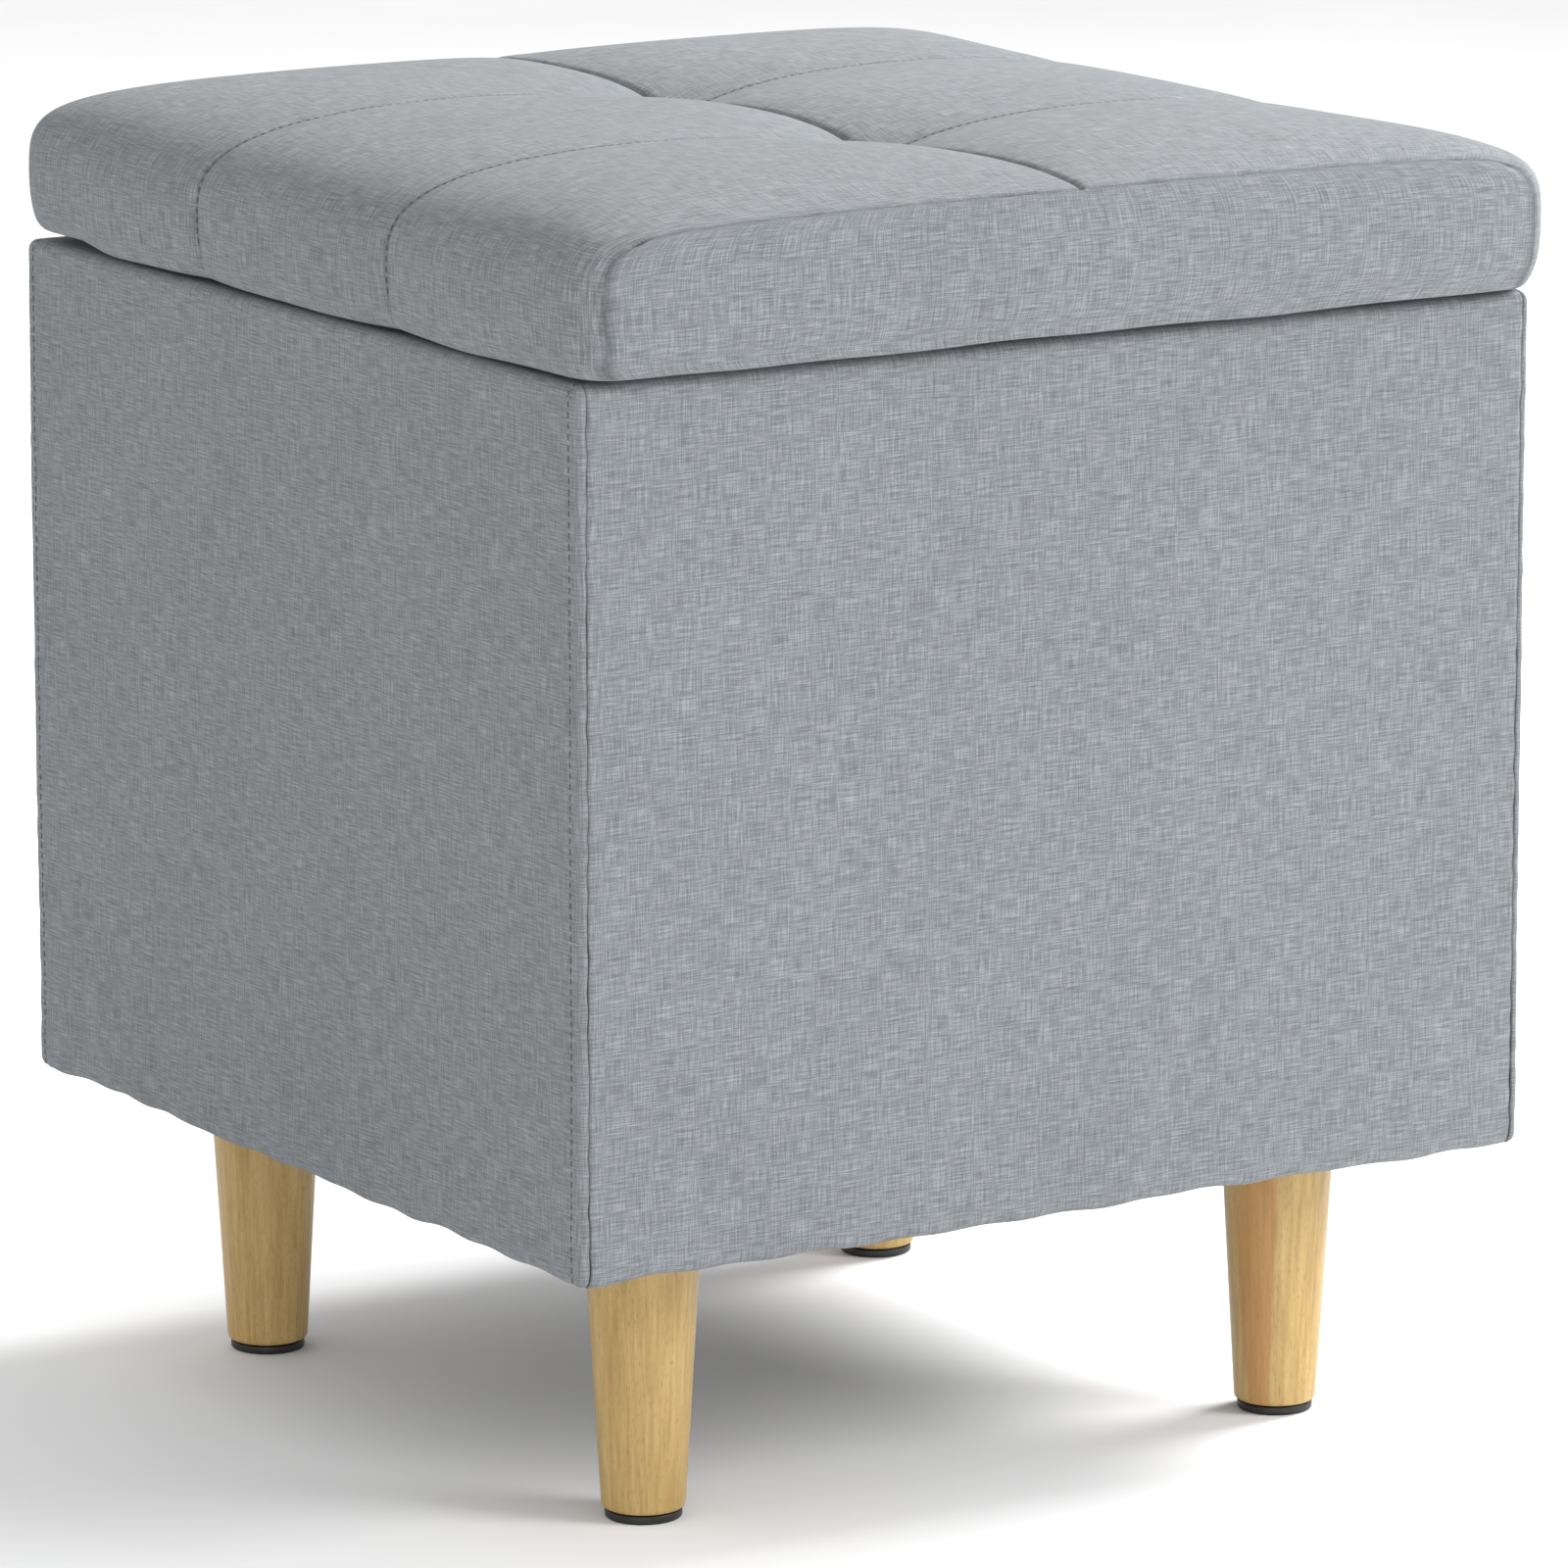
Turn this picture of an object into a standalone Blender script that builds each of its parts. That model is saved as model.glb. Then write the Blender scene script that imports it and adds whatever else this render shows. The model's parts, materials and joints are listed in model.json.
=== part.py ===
"""Square storage ottoman: an upholstered box on four turned legs with a hinged, padded, tufted lid.

Metres, +Z up. The front is -Y, and the origin is on the floor under the middle of the whole object.
Places are worked out in body coordinates, whose origin is on the floor under the middle of the box;
one empty, ottoman_frame, then moves everything so that the hinge knuckles count in the whole depth.
"""

import math

import bmesh
import bpy
from mathutils import Matrix, Vector

# ---- Driving dimensions -------------------------------------------------------------------------

GAP = 0.0003                    # left between pieces that touch

BODY_WIDTH = 0.380              # over the fabric
BODY_DEPTH = 0.380
BODY_HEIGHT = 0.300             # hem to rim
HEM_HEIGHT = 0.100              # floor to hem

COVER_THICKNESS = 0.0025        # fabric on thin wadding
COVER_EDGE_RADIUS = 0.004
RIM_TURN_IN = 0.025             # cover inside the box, below the rim
HEM_TURN_IN = 0.034             # cover under the base, from its outer face
WALL_THICKNESS = 0.012
BASE_THICKNESS = 0.015
LINING_THICKNESS = 0.001
LINING_DROP = 0.010             # rim to the lining's upper edge
DUST_COVER_THICKNESS = 0.0008

LEG_INSET = 0.060               # outer face of the box to the leg's axis
LEG_TOP_RADIUS = 0.020
LEG_BOTTOM_RADIUS = 0.01425
LEG_EDGE_ROUNDING = 0.0015
LEG_STEPS = 32
LEG_ROUNDING_MIDDLE = 0.3       # how far in the middle of a rounded edge lies, as a share of it
GLIDE_STEPS = 24
GLIDE_RADIUS = 0.0132
GLIDE_HEIGHT = 0.003
GLIDE_NAIL_RADIUS = 0.00125
GLIDE_NAIL_LENGTH = 0.014
BOLT_RADIUS = 0.004             # M8
BOLT_DEPTH_IN_LEG = 0.026
TEE_NUT_BARREL_RADIUS = 0.0052
TEE_NUT_FLANGE_RADIUS = 0.011
TEE_NUT_FLANGE = 0.0015

LID_OVERHANG_SIDE = 0.0045      # beyond the box on the left and right
LID_OVERHANG_FRONT = 0.010
LID_OVERHANG_BACK = 0.0         # the hinge knuckles stand right behind the lid
LID_HEIGHT = 0.060              # underside to crown
LID_BOTTOM_RADIUS = 0.008
LID_SHOULDER_HEIGHT = 0.024     # underside to the widest line
LID_CROWN_STEPS = 12
LID_CROWN_POWER = 5             # how square the upper half of the lid's outline is
LID_CLOTH = 0.0015
LID_TURN_IN = 0.030             # cloth stapled under the board
LID_BOARD_THICKNESS = 0.012
LID_LINING_THICKNESS = 0.0008
TUFT_DEPTH = 0.020              # crown to the top of the tufting twine
TWINE_RADIUS = 0.001
TWINE_STEPS = 8

HINGE_SPACING = 0.230           # between the middles of the two hinges
HINGE_LENGTH = 0.050
HINGE_LEAF_WIDTH = 0.018        # from the pin's axis
HINGE_LEAF_THICKNESS = 0.0012
HINGE_LEAF_SPACE = 0.0006       # between the closed leaves
HINGE_KNUCKLE_RADIUS = 0.0025
HINGE_BORE_RADIUS = 0.0014
HINGE_PIN_RADIUS = 0.0010
HINGE_MIDDLE_KNUCKLE = 0.020
HINGE_KNUCKLE_SPACE = 0.0005
HINGE_SCREW_SPACING = 0.030

SCREW_RADIUS = 0.0011
SCREW_HEAD_RADIUS = 0.0021
SCREW_LENGTH = 0.011

STAY_THICKNESS = 0.0015         # of its plates and arms
STAY_SPACE = 0.0005             # between its plates and arms
STAY_ARM_HALF_WIDTH = 0.006
STAY_PIVOT_RADIUS = 0.002
STAY_PIVOT_HEAD_RADIUS = 0.0035
STAY_PIVOT_HEAD = 0.001
STAY_LOWER_PIVOT = (0.0540, 0.1015)     # (in front of the hinge axis, below the rim), on the right wall
STAY_UPPER_PIVOT = (0.1537, 0.0120)     # (in front of the hinge axis, below the lid's underside)
STAY_LOWER_LENGTH = 0.1543
STAY_UPPER_LENGTH = 0.1167
STAY_BRACKET_LENGTH = 0.040
STAY_SCREW_SPACING = 0.026
STAY_FLANGE_WIDTH = 0.016       # of the lid bracket's foot, from the tab
STAY_ELBOW_PLAY = 0.0005        # extra in the upper arm's elbow hole

BUMPER_RADIUS = 0.004
BUMPER_INSET = 0.030            # outer face of the box to the bumper's axis
SMALL_STEPS = 12                # of screws, pins and bumpers
EDGE_STEPS = 3                  # of a cover's rounded edge
CORNER_STEPS = 4                # of the lid's lower corner
ROUND_END_STEPS = 8             # of an arm's or bracket's round end
PIN_STEPS = 16

# ---- Sizes that follow --------------------------------------------------------------------------

HALF_WIDTH = BODY_WIDTH / 2
HALF_DEPTH = BODY_DEPTH / 2
RIM = HEM_HEIGHT + BODY_HEIGHT
WALL_OUTER = COVER_THICKNESS + GAP                      # depths below the box's outer face
WALL_INNER = WALL_OUTER + WALL_THICKNESS
COVER_INNER = WALL_INNER + GAP + COVER_THICKNESS
LINING_OUTER = COVER_INNER + GAP
LINING_INNER = LINING_OUTER + LINING_THICKNESS
WALL_MIDDLE = (WALL_OUTER + WALL_INNER) / 2
BASE_BOTTOM = HEM_HEIGHT + COVER_THICKNESS + GAP
BASE_TOP = BASE_BOTTOM + BASE_THICKNESS
DUST_COVER_BOTTOM = BASE_BOTTOM - GAP - DUST_COVER_THICKNESS
LEG_TOP = DUST_COVER_BOTTOM - GAP
LEG_BOTTOM = GLIDE_HEIGHT + GAP
BOLT_HOLE_RADIUS = BOLT_RADIUS + GAP

HINGE_AXIS_Y = HALF_DEPTH + GAP + HINGE_KNUCKLE_RADIUS
HINGE_AXIS_Z = RIM + GAP + HINGE_LEAF_THICKNESS + HINGE_LEAF_SPACE / 2
LID_BOTTOM = HINGE_AXIS_Z + HINGE_LEAF_SPACE / 2 + HINGE_LEAF_THICKNESS + GAP
LID_TOP = LID_BOTTOM + LID_HEIGHT
LID_HALF_WIDTH = HALF_WIDTH + LID_OVERHANG_SIDE
LID_FRONT = -HALF_DEPTH - LID_OVERHANG_FRONT
LID_BACK = HALF_DEPTH + LID_OVERHANG_BACK
LID_MIDDLE = (LID_FRONT + LID_BACK) / 2
LID_BOARD_BOTTOM = LID_BOTTOM + LID_CLOTH + GAP
LID_BOARD_TOP = LID_BOARD_BOTTOM + LID_BOARD_THICKNESS
LID_BOARD_EDGE = LID_BOTTOM_RADIUS                      # lid's outer face to the board
TUFT_PLACES = [LID_MIDDLE + side * (LID_BACK - LID_FRONT) / 6 for side in (-1, 1)]

STAY_PLATE_X = HALF_WIDTH - LINING_INNER - GAP - STAY_THICKNESS / 2
STAY_PITCH = STAY_THICKNESS + STAY_SPACE
STAY_LOWER_X = STAY_PLATE_X - STAY_PITCH
STAY_UPPER_X = STAY_LOWER_X - STAY_PITCH
STAY_TAB_X = STAY_UPPER_X - STAY_PITCH
STAY_LOWER = (HINGE_AXIS_Y - STAY_LOWER_PIVOT[0], RIM - STAY_LOWER_PIVOT[1])            # (y, z)
STAY_UPPER = (HINGE_AXIS_Y - STAY_UPPER_PIVOT[0], LID_BOTTOM - STAY_UPPER_PIVOT[1])

# The lid's front overhang and the knuckles behind the box stand out by different amounts.
BACK_STAND_OUT = HINGE_AXIS_Y + HINGE_KNUCKLE_RADIUS - HALF_DEPTH
FRAME_OFFSET = Vector((0.0, (LID_OVERHANG_FRONT - BACK_STAND_OUT) / 2, 0.0))

# ---- Collections, materials and helpers ---------------------------------------------------------

for leftover in list(bpy.data.objects):
    bpy.data.objects.remove(leftover, do_unlink=True)


def new_collection(name):
    collection = bpy.data.collections.new(name)
    bpy.context.scene.collection.children.link(collection)
    return collection


PARTS = new_collection("storage_ottoman")
CUTTERS = new_collection("cutters")
CUTTERS.hide_render = True


# name: (colour, roughness, metallic)
FINISHES = {
    "grey_fabric": ((0.33, 0.35, 0.37), 0.90, 0.0),
    "black_nonwoven": ((0.030, 0.030, 0.032), 0.95, 0.0),
    "fibreboard": ((0.46, 0.33, 0.20), 0.85, 0.0),
    "foam": ((0.80, 0.76, 0.58), 0.90, 0.0),
    "rubberwood": ((0.52, 0.35, 0.14), 0.40, 0.0),
    "zinc_steel": ((0.62, 0.63, 0.65), 0.35, 1.0),
    "black_plastic": ((0.015, 0.015, 0.015), 0.50, 0.0),
    "rubber": ((0.02, 0.02, 0.02), 0.60, 0.0),
    "twine": ((0.75, 0.72, 0.65), 0.80, 0.0),
}


def new_material(name, finish):
    colour, roughness, metallic = FINISHES[finish]
    material = bpy.data.materials.new(name + "_material")
    material.use_nodes = True
    shader = material.node_tree.nodes["Principled BSDF"]
    shader.inputs["Base Color"].default_value = (*colour, 1.0)
    shader.inputs["Roughness"].default_value = roughness
    shader.inputs["Metallic"].default_value = metallic
    return material


def new_empty(name, parent, point):
    """An empty at a point in body coordinates; its own children are placed in body coordinates too."""
    empty = bpy.data.objects.new(name, None)
    PARTS.objects.link(empty)
    empty.parent = parent
    empty.location = Vector(point) - Vector(parent["point"] if parent else (0, 0, 0))
    empty["point"] = tuple(point)
    return empty


FRAME = new_empty("ottoman_frame", None, (0, 0, 0))
FRAME.location = FRAME_OFFSET
LID_AXIS = new_empty("lid_hinge_axis", FRAME, (0, HINGE_AXIS_Y, HINGE_AXIS_Z))
STAY_LOWER_AXIS = new_empty("stay_lower_axis", FRAME, (STAY_LOWER_X, *STAY_LOWER))
STAY_UPPER_AXIS = new_empty("stay_upper_axis", LID_AXIS, (STAY_UPPER_X, *STAY_UPPER))


def new_object(name, mesh, parent, point, turn=(0, 0, 0), finish=None):
    """Places a mesh as a part with its own material, or as a hidden cutter where no finish is given."""
    obj = bpy.data.objects.new(name, mesh)
    (PARTS if finish else CUTTERS).objects.link(obj)
    obj.parent = parent
    obj.location = Vector(point) - Vector(parent["point"])
    obj.rotation_euler = turn
    if finish:
        mesh.materials.clear()
        mesh.materials.append(new_material(name, finish))
    else:
        obj.display_type = "WIRE"
        obj.hide_render = True
    return obj


def box(name, size, parent, centre, finish=None):
    work = bmesh.new()
    bmesh.ops.create_cube(work, size=1.0)
    bmesh.ops.scale(work, vec=size, verts=work.verts)
    mesh = bpy.data.meshes.new(name)
    work.to_mesh(mesh)
    work.free()
    return new_object(name, mesh, parent, centre, (0, 0, 0), finish)


def box_between(name, low, high, parent, finish=None):
    low, high = Vector(low), Vector(high)
    return box(name, high - low, parent, (low + high) / 2, finish)


def turned(name, profile, steps, parent, point, turn=(0, 0, 0), finish=None, ring=False):
    """Spins (radius, height) points about the piece's Z; a ring's profile joins its end to its start."""
    mesh = bpy.data.meshes.new(name)
    edges = [(i, i + 1) for i in range(len(profile) - 1)]
    if ring:
        edges.append((len(profile) - 1, 0))
    mesh.from_pydata([(radius, 0.0, height) for radius, height in profile], edges, [])
    obj = new_object(name, mesh, parent, point, turn, finish)
    spin = obj.modifiers.new("spin", "SCREW")
    spin.axis = "Z"
    spin.steps = steps
    spin.render_steps = steps
    spin.use_merge_vertices = True
    spin.merge_threshold = 0.00001
    spin.use_smooth_shade = True
    return obj


def rod(name, radius, low, high, parent, point, turn=(0, 0, 0), finish=None, steps=PIN_STEPS):
    """A cylinder from low to high along the piece's Z."""
    profile = [(0, high), (radius, high), (radius, low), (0, low)]
    return turned(name, profile, steps, parent, point, turn, finish)


def arc(centre, radius, start, end, steps):
    """Points round a centre, from one angle in degrees to another."""
    angles = [math.radians(start + (end - start) * i / steps) for i in range(steps + 1)]
    return [(centre[0] + radius * math.cos(a), centre[1] + radius * math.sin(a)) for a in angles]


def plate(name, outlines, thickness, parent, point, turn=(0, 0, 0), finish=None):
    """A flat outline in the piece's XY, with holes as further outlines, thickened evenly along Z."""
    curve = bpy.data.curves.new(name, "CURVE")
    curve.dimensions = "2D"
    curve.fill_mode = "BOTH"
    curve.extrude = thickness / 2
    for outline in outlines:
        spline = curve.splines.new("POLY")
        spline.points.add(len(outline) - 1)
        for vertex, (x, y) in zip(spline.points, outline):
            vertex.co = (x, y, 0.0, 1.0)
        spline.use_cyclic_u = True
    drawing = bpy.data.objects.new(name + "_drawing", curve)
    PARTS.objects.link(drawing)
    graph = bpy.context.evaluated_depsgraph_get()
    mesh = bpy.data.meshes.new_from_object(drawing.evaluated_get(graph))
    bpy.data.objects.remove(drawing, do_unlink=True)
    bpy.data.curves.remove(curve)
    mesh.name = name
    weld = bmesh.new()
    weld.from_mesh(mesh)
    bmesh.ops.remove_doubles(weld, verts=weld.verts, dist=0.00001)
    weld.to_mesh(mesh)
    weld.free()
    return new_object(name, mesh, parent, point, turn, finish)


def combine(obj, other, operation):
    change = obj.modifiers.new(operation.lower(), "BOOLEAN")
    change.operation = operation
    change.object = other


UPRIGHT = (math.pi / 2, 0, 0)       # turns a plate's outline to stand in XZ, with Y up becoming +Z
ALONG_X = (0, math.pi / 2, 0)       # turns a spun piece's +Z to +X
AGAINST_X = (0, -math.pi / 2, 0)
DOWN = (math.pi, 0, 0)


# ---- Screws -------------------------------------------------------------------------------------

def screw_profile(extra):
    """A countersunk screw pointing down from its head's flat face at 0, larger by extra for its hole."""
    slope = HINGE_LEAF_THICKNESS
    return [
        (0, extra),
        (SCREW_HEAD_RADIUS + extra, extra),
        (SCREW_HEAD_RADIUS + extra, 0),
        (SCREW_RADIUS + extra, -slope),
        (SCREW_RADIUS + extra, -SCREW_LENGTH + SCREW_RADIUS),
        (0, -SCREW_LENGTH - extra),
    ]


def screw(name, parent, point, turn, pierced):
    """A screw with its head's face at point, and its hole in every piece that it goes through."""
    profile = screw_profile(0)
    del profile[1]
    turned(name, profile, SMALL_STEPS, parent, point, turn, "zinc_steel")
    hole = turned(name + "_hole", screw_profile(GAP), SMALL_STEPS, parent, point, turn)
    for piece in pierced:
        combine(piece, hole, "DIFFERENCE")


# ---- The box ------------------------------------------------------------------------------------

def cover_section():
    """(depth below the outer face, height above the hem) round a cover from rim to hem."""
    radius = COVER_EDGE_RADIUS
    top = BODY_HEIGHT
    return (
        arc((radius, top - radius), radius, 180, 90, EDGE_STEPS)
        + [
            (COVER_INNER, top),
            (COVER_INNER, top - RIM_TURN_IN),
            (COVER_INNER - COVER_THICKNESS, top - RIM_TURN_IN),
            (COVER_INNER - COVER_THICKNESS, top - COVER_THICKNESS),
            (COVER_THICKNESS, top - COVER_THICKNESS),
            (COVER_THICKNESS, COVER_THICKNESS),
            (HEM_TURN_IN, COVER_THICKNESS),
            (HEM_TURN_IN, 0.0),
        ]
        + arc((radius, radius), radius, 270, 180, EDGE_STEPS)
    )


def body_cover(name, length, point, quarter_turns):
    """One side of the sewn cover: a constant section whose two ends are mitred at the box's corners."""
    work = bmesh.new()
    section = [work.verts.new((0.0, depth, height)) for depth, height in cover_section()]
    face = work.faces.new(section)
    far = bmesh.ops.extrude_face_region(work, geom=[face])["geom"]
    far_end = {element for element in far if isinstance(element, bmesh.types.BMVert)}
    for vertex in work.verts:
        reach = length / 2 - vertex.co.y - GAP
        vertex.co.x = reach if vertex in far_end else -reach
    bmesh.ops.recalc_face_normals(work, faces=work.faces)
    mesh = bpy.data.meshes.new(name)
    work.to_mesh(mesh)
    work.free()
    turn = (0, 0, quarter_turns * math.pi / 2)
    return new_object(name, mesh, FRAME, point, turn, "grey_fabric")


def build_covers():
    body_cover("front_cover", BODY_WIDTH, (0, -HALF_DEPTH, HEM_HEIGHT), 0)
    body_cover("right_cover", BODY_DEPTH, (HALF_WIDTH, 0, HEM_HEIGHT), 1)
    body_cover("left_cover", BODY_DEPTH, (-HALF_WIDTH, 0, HEM_HEIGHT), 3)
    return body_cover("back_cover", BODY_WIDTH, (0, HALF_DEPTH, HEM_HEIGHT), 2)


def build_walls():
    """Side panels run the full depth; the front and back panels stand between them."""
    low = BASE_BOTTOM
    high = RIM - COVER_THICKNESS - GAP
    outer_x = HALF_WIDTH - WALL_OUTER
    inner_x = HALF_WIDTH - WALL_INNER
    outer_y = HALF_DEPTH - WALL_OUTER
    inner_y = HALF_DEPTH - WALL_INNER
    end_x = inner_x - GAP
    spans = {
        "left_panel": ((-outer_x, -outer_y, low), (-inner_x, outer_y, high)),
        "right_panel": ((inner_x, -outer_y, low), (outer_x, outer_y, high)),
        "front_panel": ((-end_x, -outer_y, low), (end_x, -inner_y, high)),
        "back_panel": ((-end_x, inner_y, low), (end_x, outer_y, high)),
    }
    walls = {name: box_between(name, *span, FRAME, "fibreboard") for name, span in spans.items()}
    return walls["right_panel"], walls["back_panel"]


def build_lining():
    """A sewn bag, open at the top: five faces of a box, thickened inwards."""
    size = Vector((
        BODY_WIDTH - 2 * LINING_OUTER,
        BODY_DEPTH - 2 * LINING_OUTER,
        RIM - LINING_DROP - BASE_TOP - GAP,
    ))
    work = bmesh.new()
    bmesh.ops.create_cube(work, size=1.0)
    bmesh.ops.scale(work, vec=size, verts=work.verts)
    top = [face for face in work.faces if face.normal.z > 0.5]
    bmesh.ops.delete(work, geom=top, context="FACES_ONLY")
    mesh = bpy.data.meshes.new("inner_lining")
    work.to_mesh(mesh)
    work.free()
    centre = (0, 0, BASE_TOP + GAP + size.z / 2)
    lining = new_object("inner_lining", mesh, FRAME, centre, (0, 0, 0), "black_nonwoven")
    wall = lining.modifiers.new("thickness", "SOLIDIFY")
    wall.thickness = LINING_THICKNESS
    wall.offset = -1.0
    wall.use_even_offset = True
    return lining


def build_bottom():
    """The base board with its leg fixings, the dust cover, the legs and their glides."""
    half_x = HALF_WIDTH - WALL_INNER - GAP
    half_y = HALF_DEPTH - WALL_INNER - GAP
    base_low = (-half_x, -half_y, BASE_BOTTOM)
    base_high = (half_x, half_y, BASE_TOP)
    base = box_between("base_panel", base_low, base_high, FRAME, "fibreboard")
    inside = HEM_TURN_IN + GAP
    dust_low = (-HALF_WIDTH + inside, -HALF_DEPTH + inside, DUST_COVER_BOTTOM)
    dust_high = (HALF_WIDTH - inside, HALF_DEPTH - inside, BASE_BOTTOM - GAP)
    dust = box_between("dust_cover", dust_low, dust_high, FRAME, "black_nonwoven")
    for front_or_back, side_y in (("front", -1), ("back", 1)):
        for left_or_right, side_x in (("left", -1), ("right", 1)):
            place = front_or_back + "_" + left_or_right
            x = side_x * (HALF_WIDTH - LEG_INSET)
            y = side_y * (HALF_DEPTH - LEG_INSET)
            build_leg(place, x, y, base, dust)


def build_leg(place, x, y, base, dust):
    nail_top = LEG_BOTTOM + GLIDE_NAIL_LENGTH
    nail_hole = GLIDE_NAIL_RADIUS + GAP
    bolt_low = LEG_TOP - BOLT_DEPTH_IN_LEG
    rounding = LEG_EDGE_ROUNDING
    middle = rounding * LEG_ROUNDING_MIDDLE
    slope = (LEG_TOP_RADIUS - LEG_BOTTOM_RADIUS) / (LEG_TOP - LEG_BOTTOM)
    leg_profile = [
        (0, bolt_low - GAP),
        (BOLT_HOLE_RADIUS, bolt_low - GAP),
        (BOLT_HOLE_RADIUS, LEG_TOP),
        (LEG_TOP_RADIUS, LEG_TOP),
        (LEG_BOTTOM_RADIUS + slope * rounding, LEG_BOTTOM + rounding),
        (LEG_BOTTOM_RADIUS - middle, LEG_BOTTOM + middle),
        (LEG_BOTTOM_RADIUS - rounding, LEG_BOTTOM),
        (nail_hole, LEG_BOTTOM),
        (nail_hole, nail_top + GAP),
        (0, nail_top + GAP),
    ]
    turned("leg_" + place, leg_profile, LEG_STEPS, FRAME, (x, y, 0), (0, 0, 0), "rubberwood")

    edge = GLIDE_HEIGHT / 3
    glide_profile = [
        (0, nail_top),
        (GLIDE_NAIL_RADIUS, nail_top - 2 * GLIDE_NAIL_RADIUS),
        (GLIDE_NAIL_RADIUS, GLIDE_HEIGHT),
        (GLIDE_RADIUS, GLIDE_HEIGHT),
        (GLIDE_RADIUS, edge),
        (GLIDE_RADIUS - edge, 0),
        (0, 0),
    ]
    turned("glide_" + place, glide_profile, GLIDE_STEPS, FRAME, (x, y, 0), (0, 0, 0), "black_plastic")
    axis = (x, y, 0)
    rod("leg_bolt_" + place, BOLT_RADIUS, bolt_low, BASE_TOP, FRAME, axis, (0, 0, 0), "zinc_steel")

    flange_low = BASE_TOP - TEE_NUT_FLANGE
    nut_profile = [
        (BOLT_HOLE_RADIUS, BASE_TOP),
        (TEE_NUT_FLANGE_RADIUS, BASE_TOP),
        (TEE_NUT_FLANGE_RADIUS, flange_low),
        (TEE_NUT_BARREL_RADIUS, flange_low),
        (TEE_NUT_BARREL_RADIUS, BASE_BOTTOM),
        (BOLT_HOLE_RADIUS, BASE_BOTTOM),
    ]
    turned("tee_nut_" + place, nut_profile, PIN_STEPS, FRAME, axis, (0, 0, 0), "zinc_steel", ring=True)
    seat_profile = [
        (0, BASE_TOP + GAP),
        (TEE_NUT_FLANGE_RADIUS + GAP, BASE_TOP + GAP),
        (TEE_NUT_FLANGE_RADIUS + GAP, flange_low - GAP),
        (TEE_NUT_BARREL_RADIUS + GAP, flange_low - GAP),
        (TEE_NUT_BARREL_RADIUS + GAP, BASE_BOTTOM - GAP / 2),
        (0, BASE_BOTTOM - GAP / 2),
    ]
    seat = turned("tee_nut_seat_" + place, seat_profile, PIN_STEPS, FRAME, axis)
    combine(base, seat, "DIFFERENCE")
    hole_low = DUST_COVER_BOTTOM - GAP
    bolt_hole = rod("dust_hole_" + place, BOLT_HOLE_RADIUS, hole_low, BASE_BOTTOM, FRAME, axis)
    combine(dust, bolt_hole, "DIFFERENCE")


# ---- The lid ------------------------------------------------------------------------------------

def lid_side(inset, low):
    """The lid's outline from its lower right edge up to the crown, inset evenly, in X and Z.

    Below the shoulder the side is straight with a rounded lower corner; above it the outline is a
    quarter of a squared ellipse. Where low is above the lower corner, the side starts there square.
    """
    half = LID_HALF_WIDTH - inset
    shoulder = LID_BOTTOM + LID_SHOULDER_HEIGHT
    rise = LID_TOP - inset - shoulder
    if low is None:
        radius = LID_BOTTOM_RADIUS - inset
        corner = (LID_HALF_WIDTH - LID_BOTTOM_RADIUS, LID_BOTTOM + LID_BOTTOM_RADIUS)
        points = arc(corner, radius, 270, 360, CORNER_STEPS)
    else:
        points = [(half, low)]
    for i in range(LID_CROWN_STEPS + 1):
        angle = math.pi / 2 * i / LID_CROWN_STEPS
        x = half * math.cos(angle) ** (2 / LID_CROWN_POWER)
        z = shoulder + rise * math.sin(angle) ** (2 / LID_CROWN_POWER)
        points.append((max(x, 0.0), z))
    return points


def lid_outline(inset, low=None):
    """The whole outline, from the lower right edge over the crown to the lower left edge."""
    right = lid_side(inset, low)
    left = [(-x, z) for x, z in reversed(right[:-1])]
    return right + left


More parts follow.
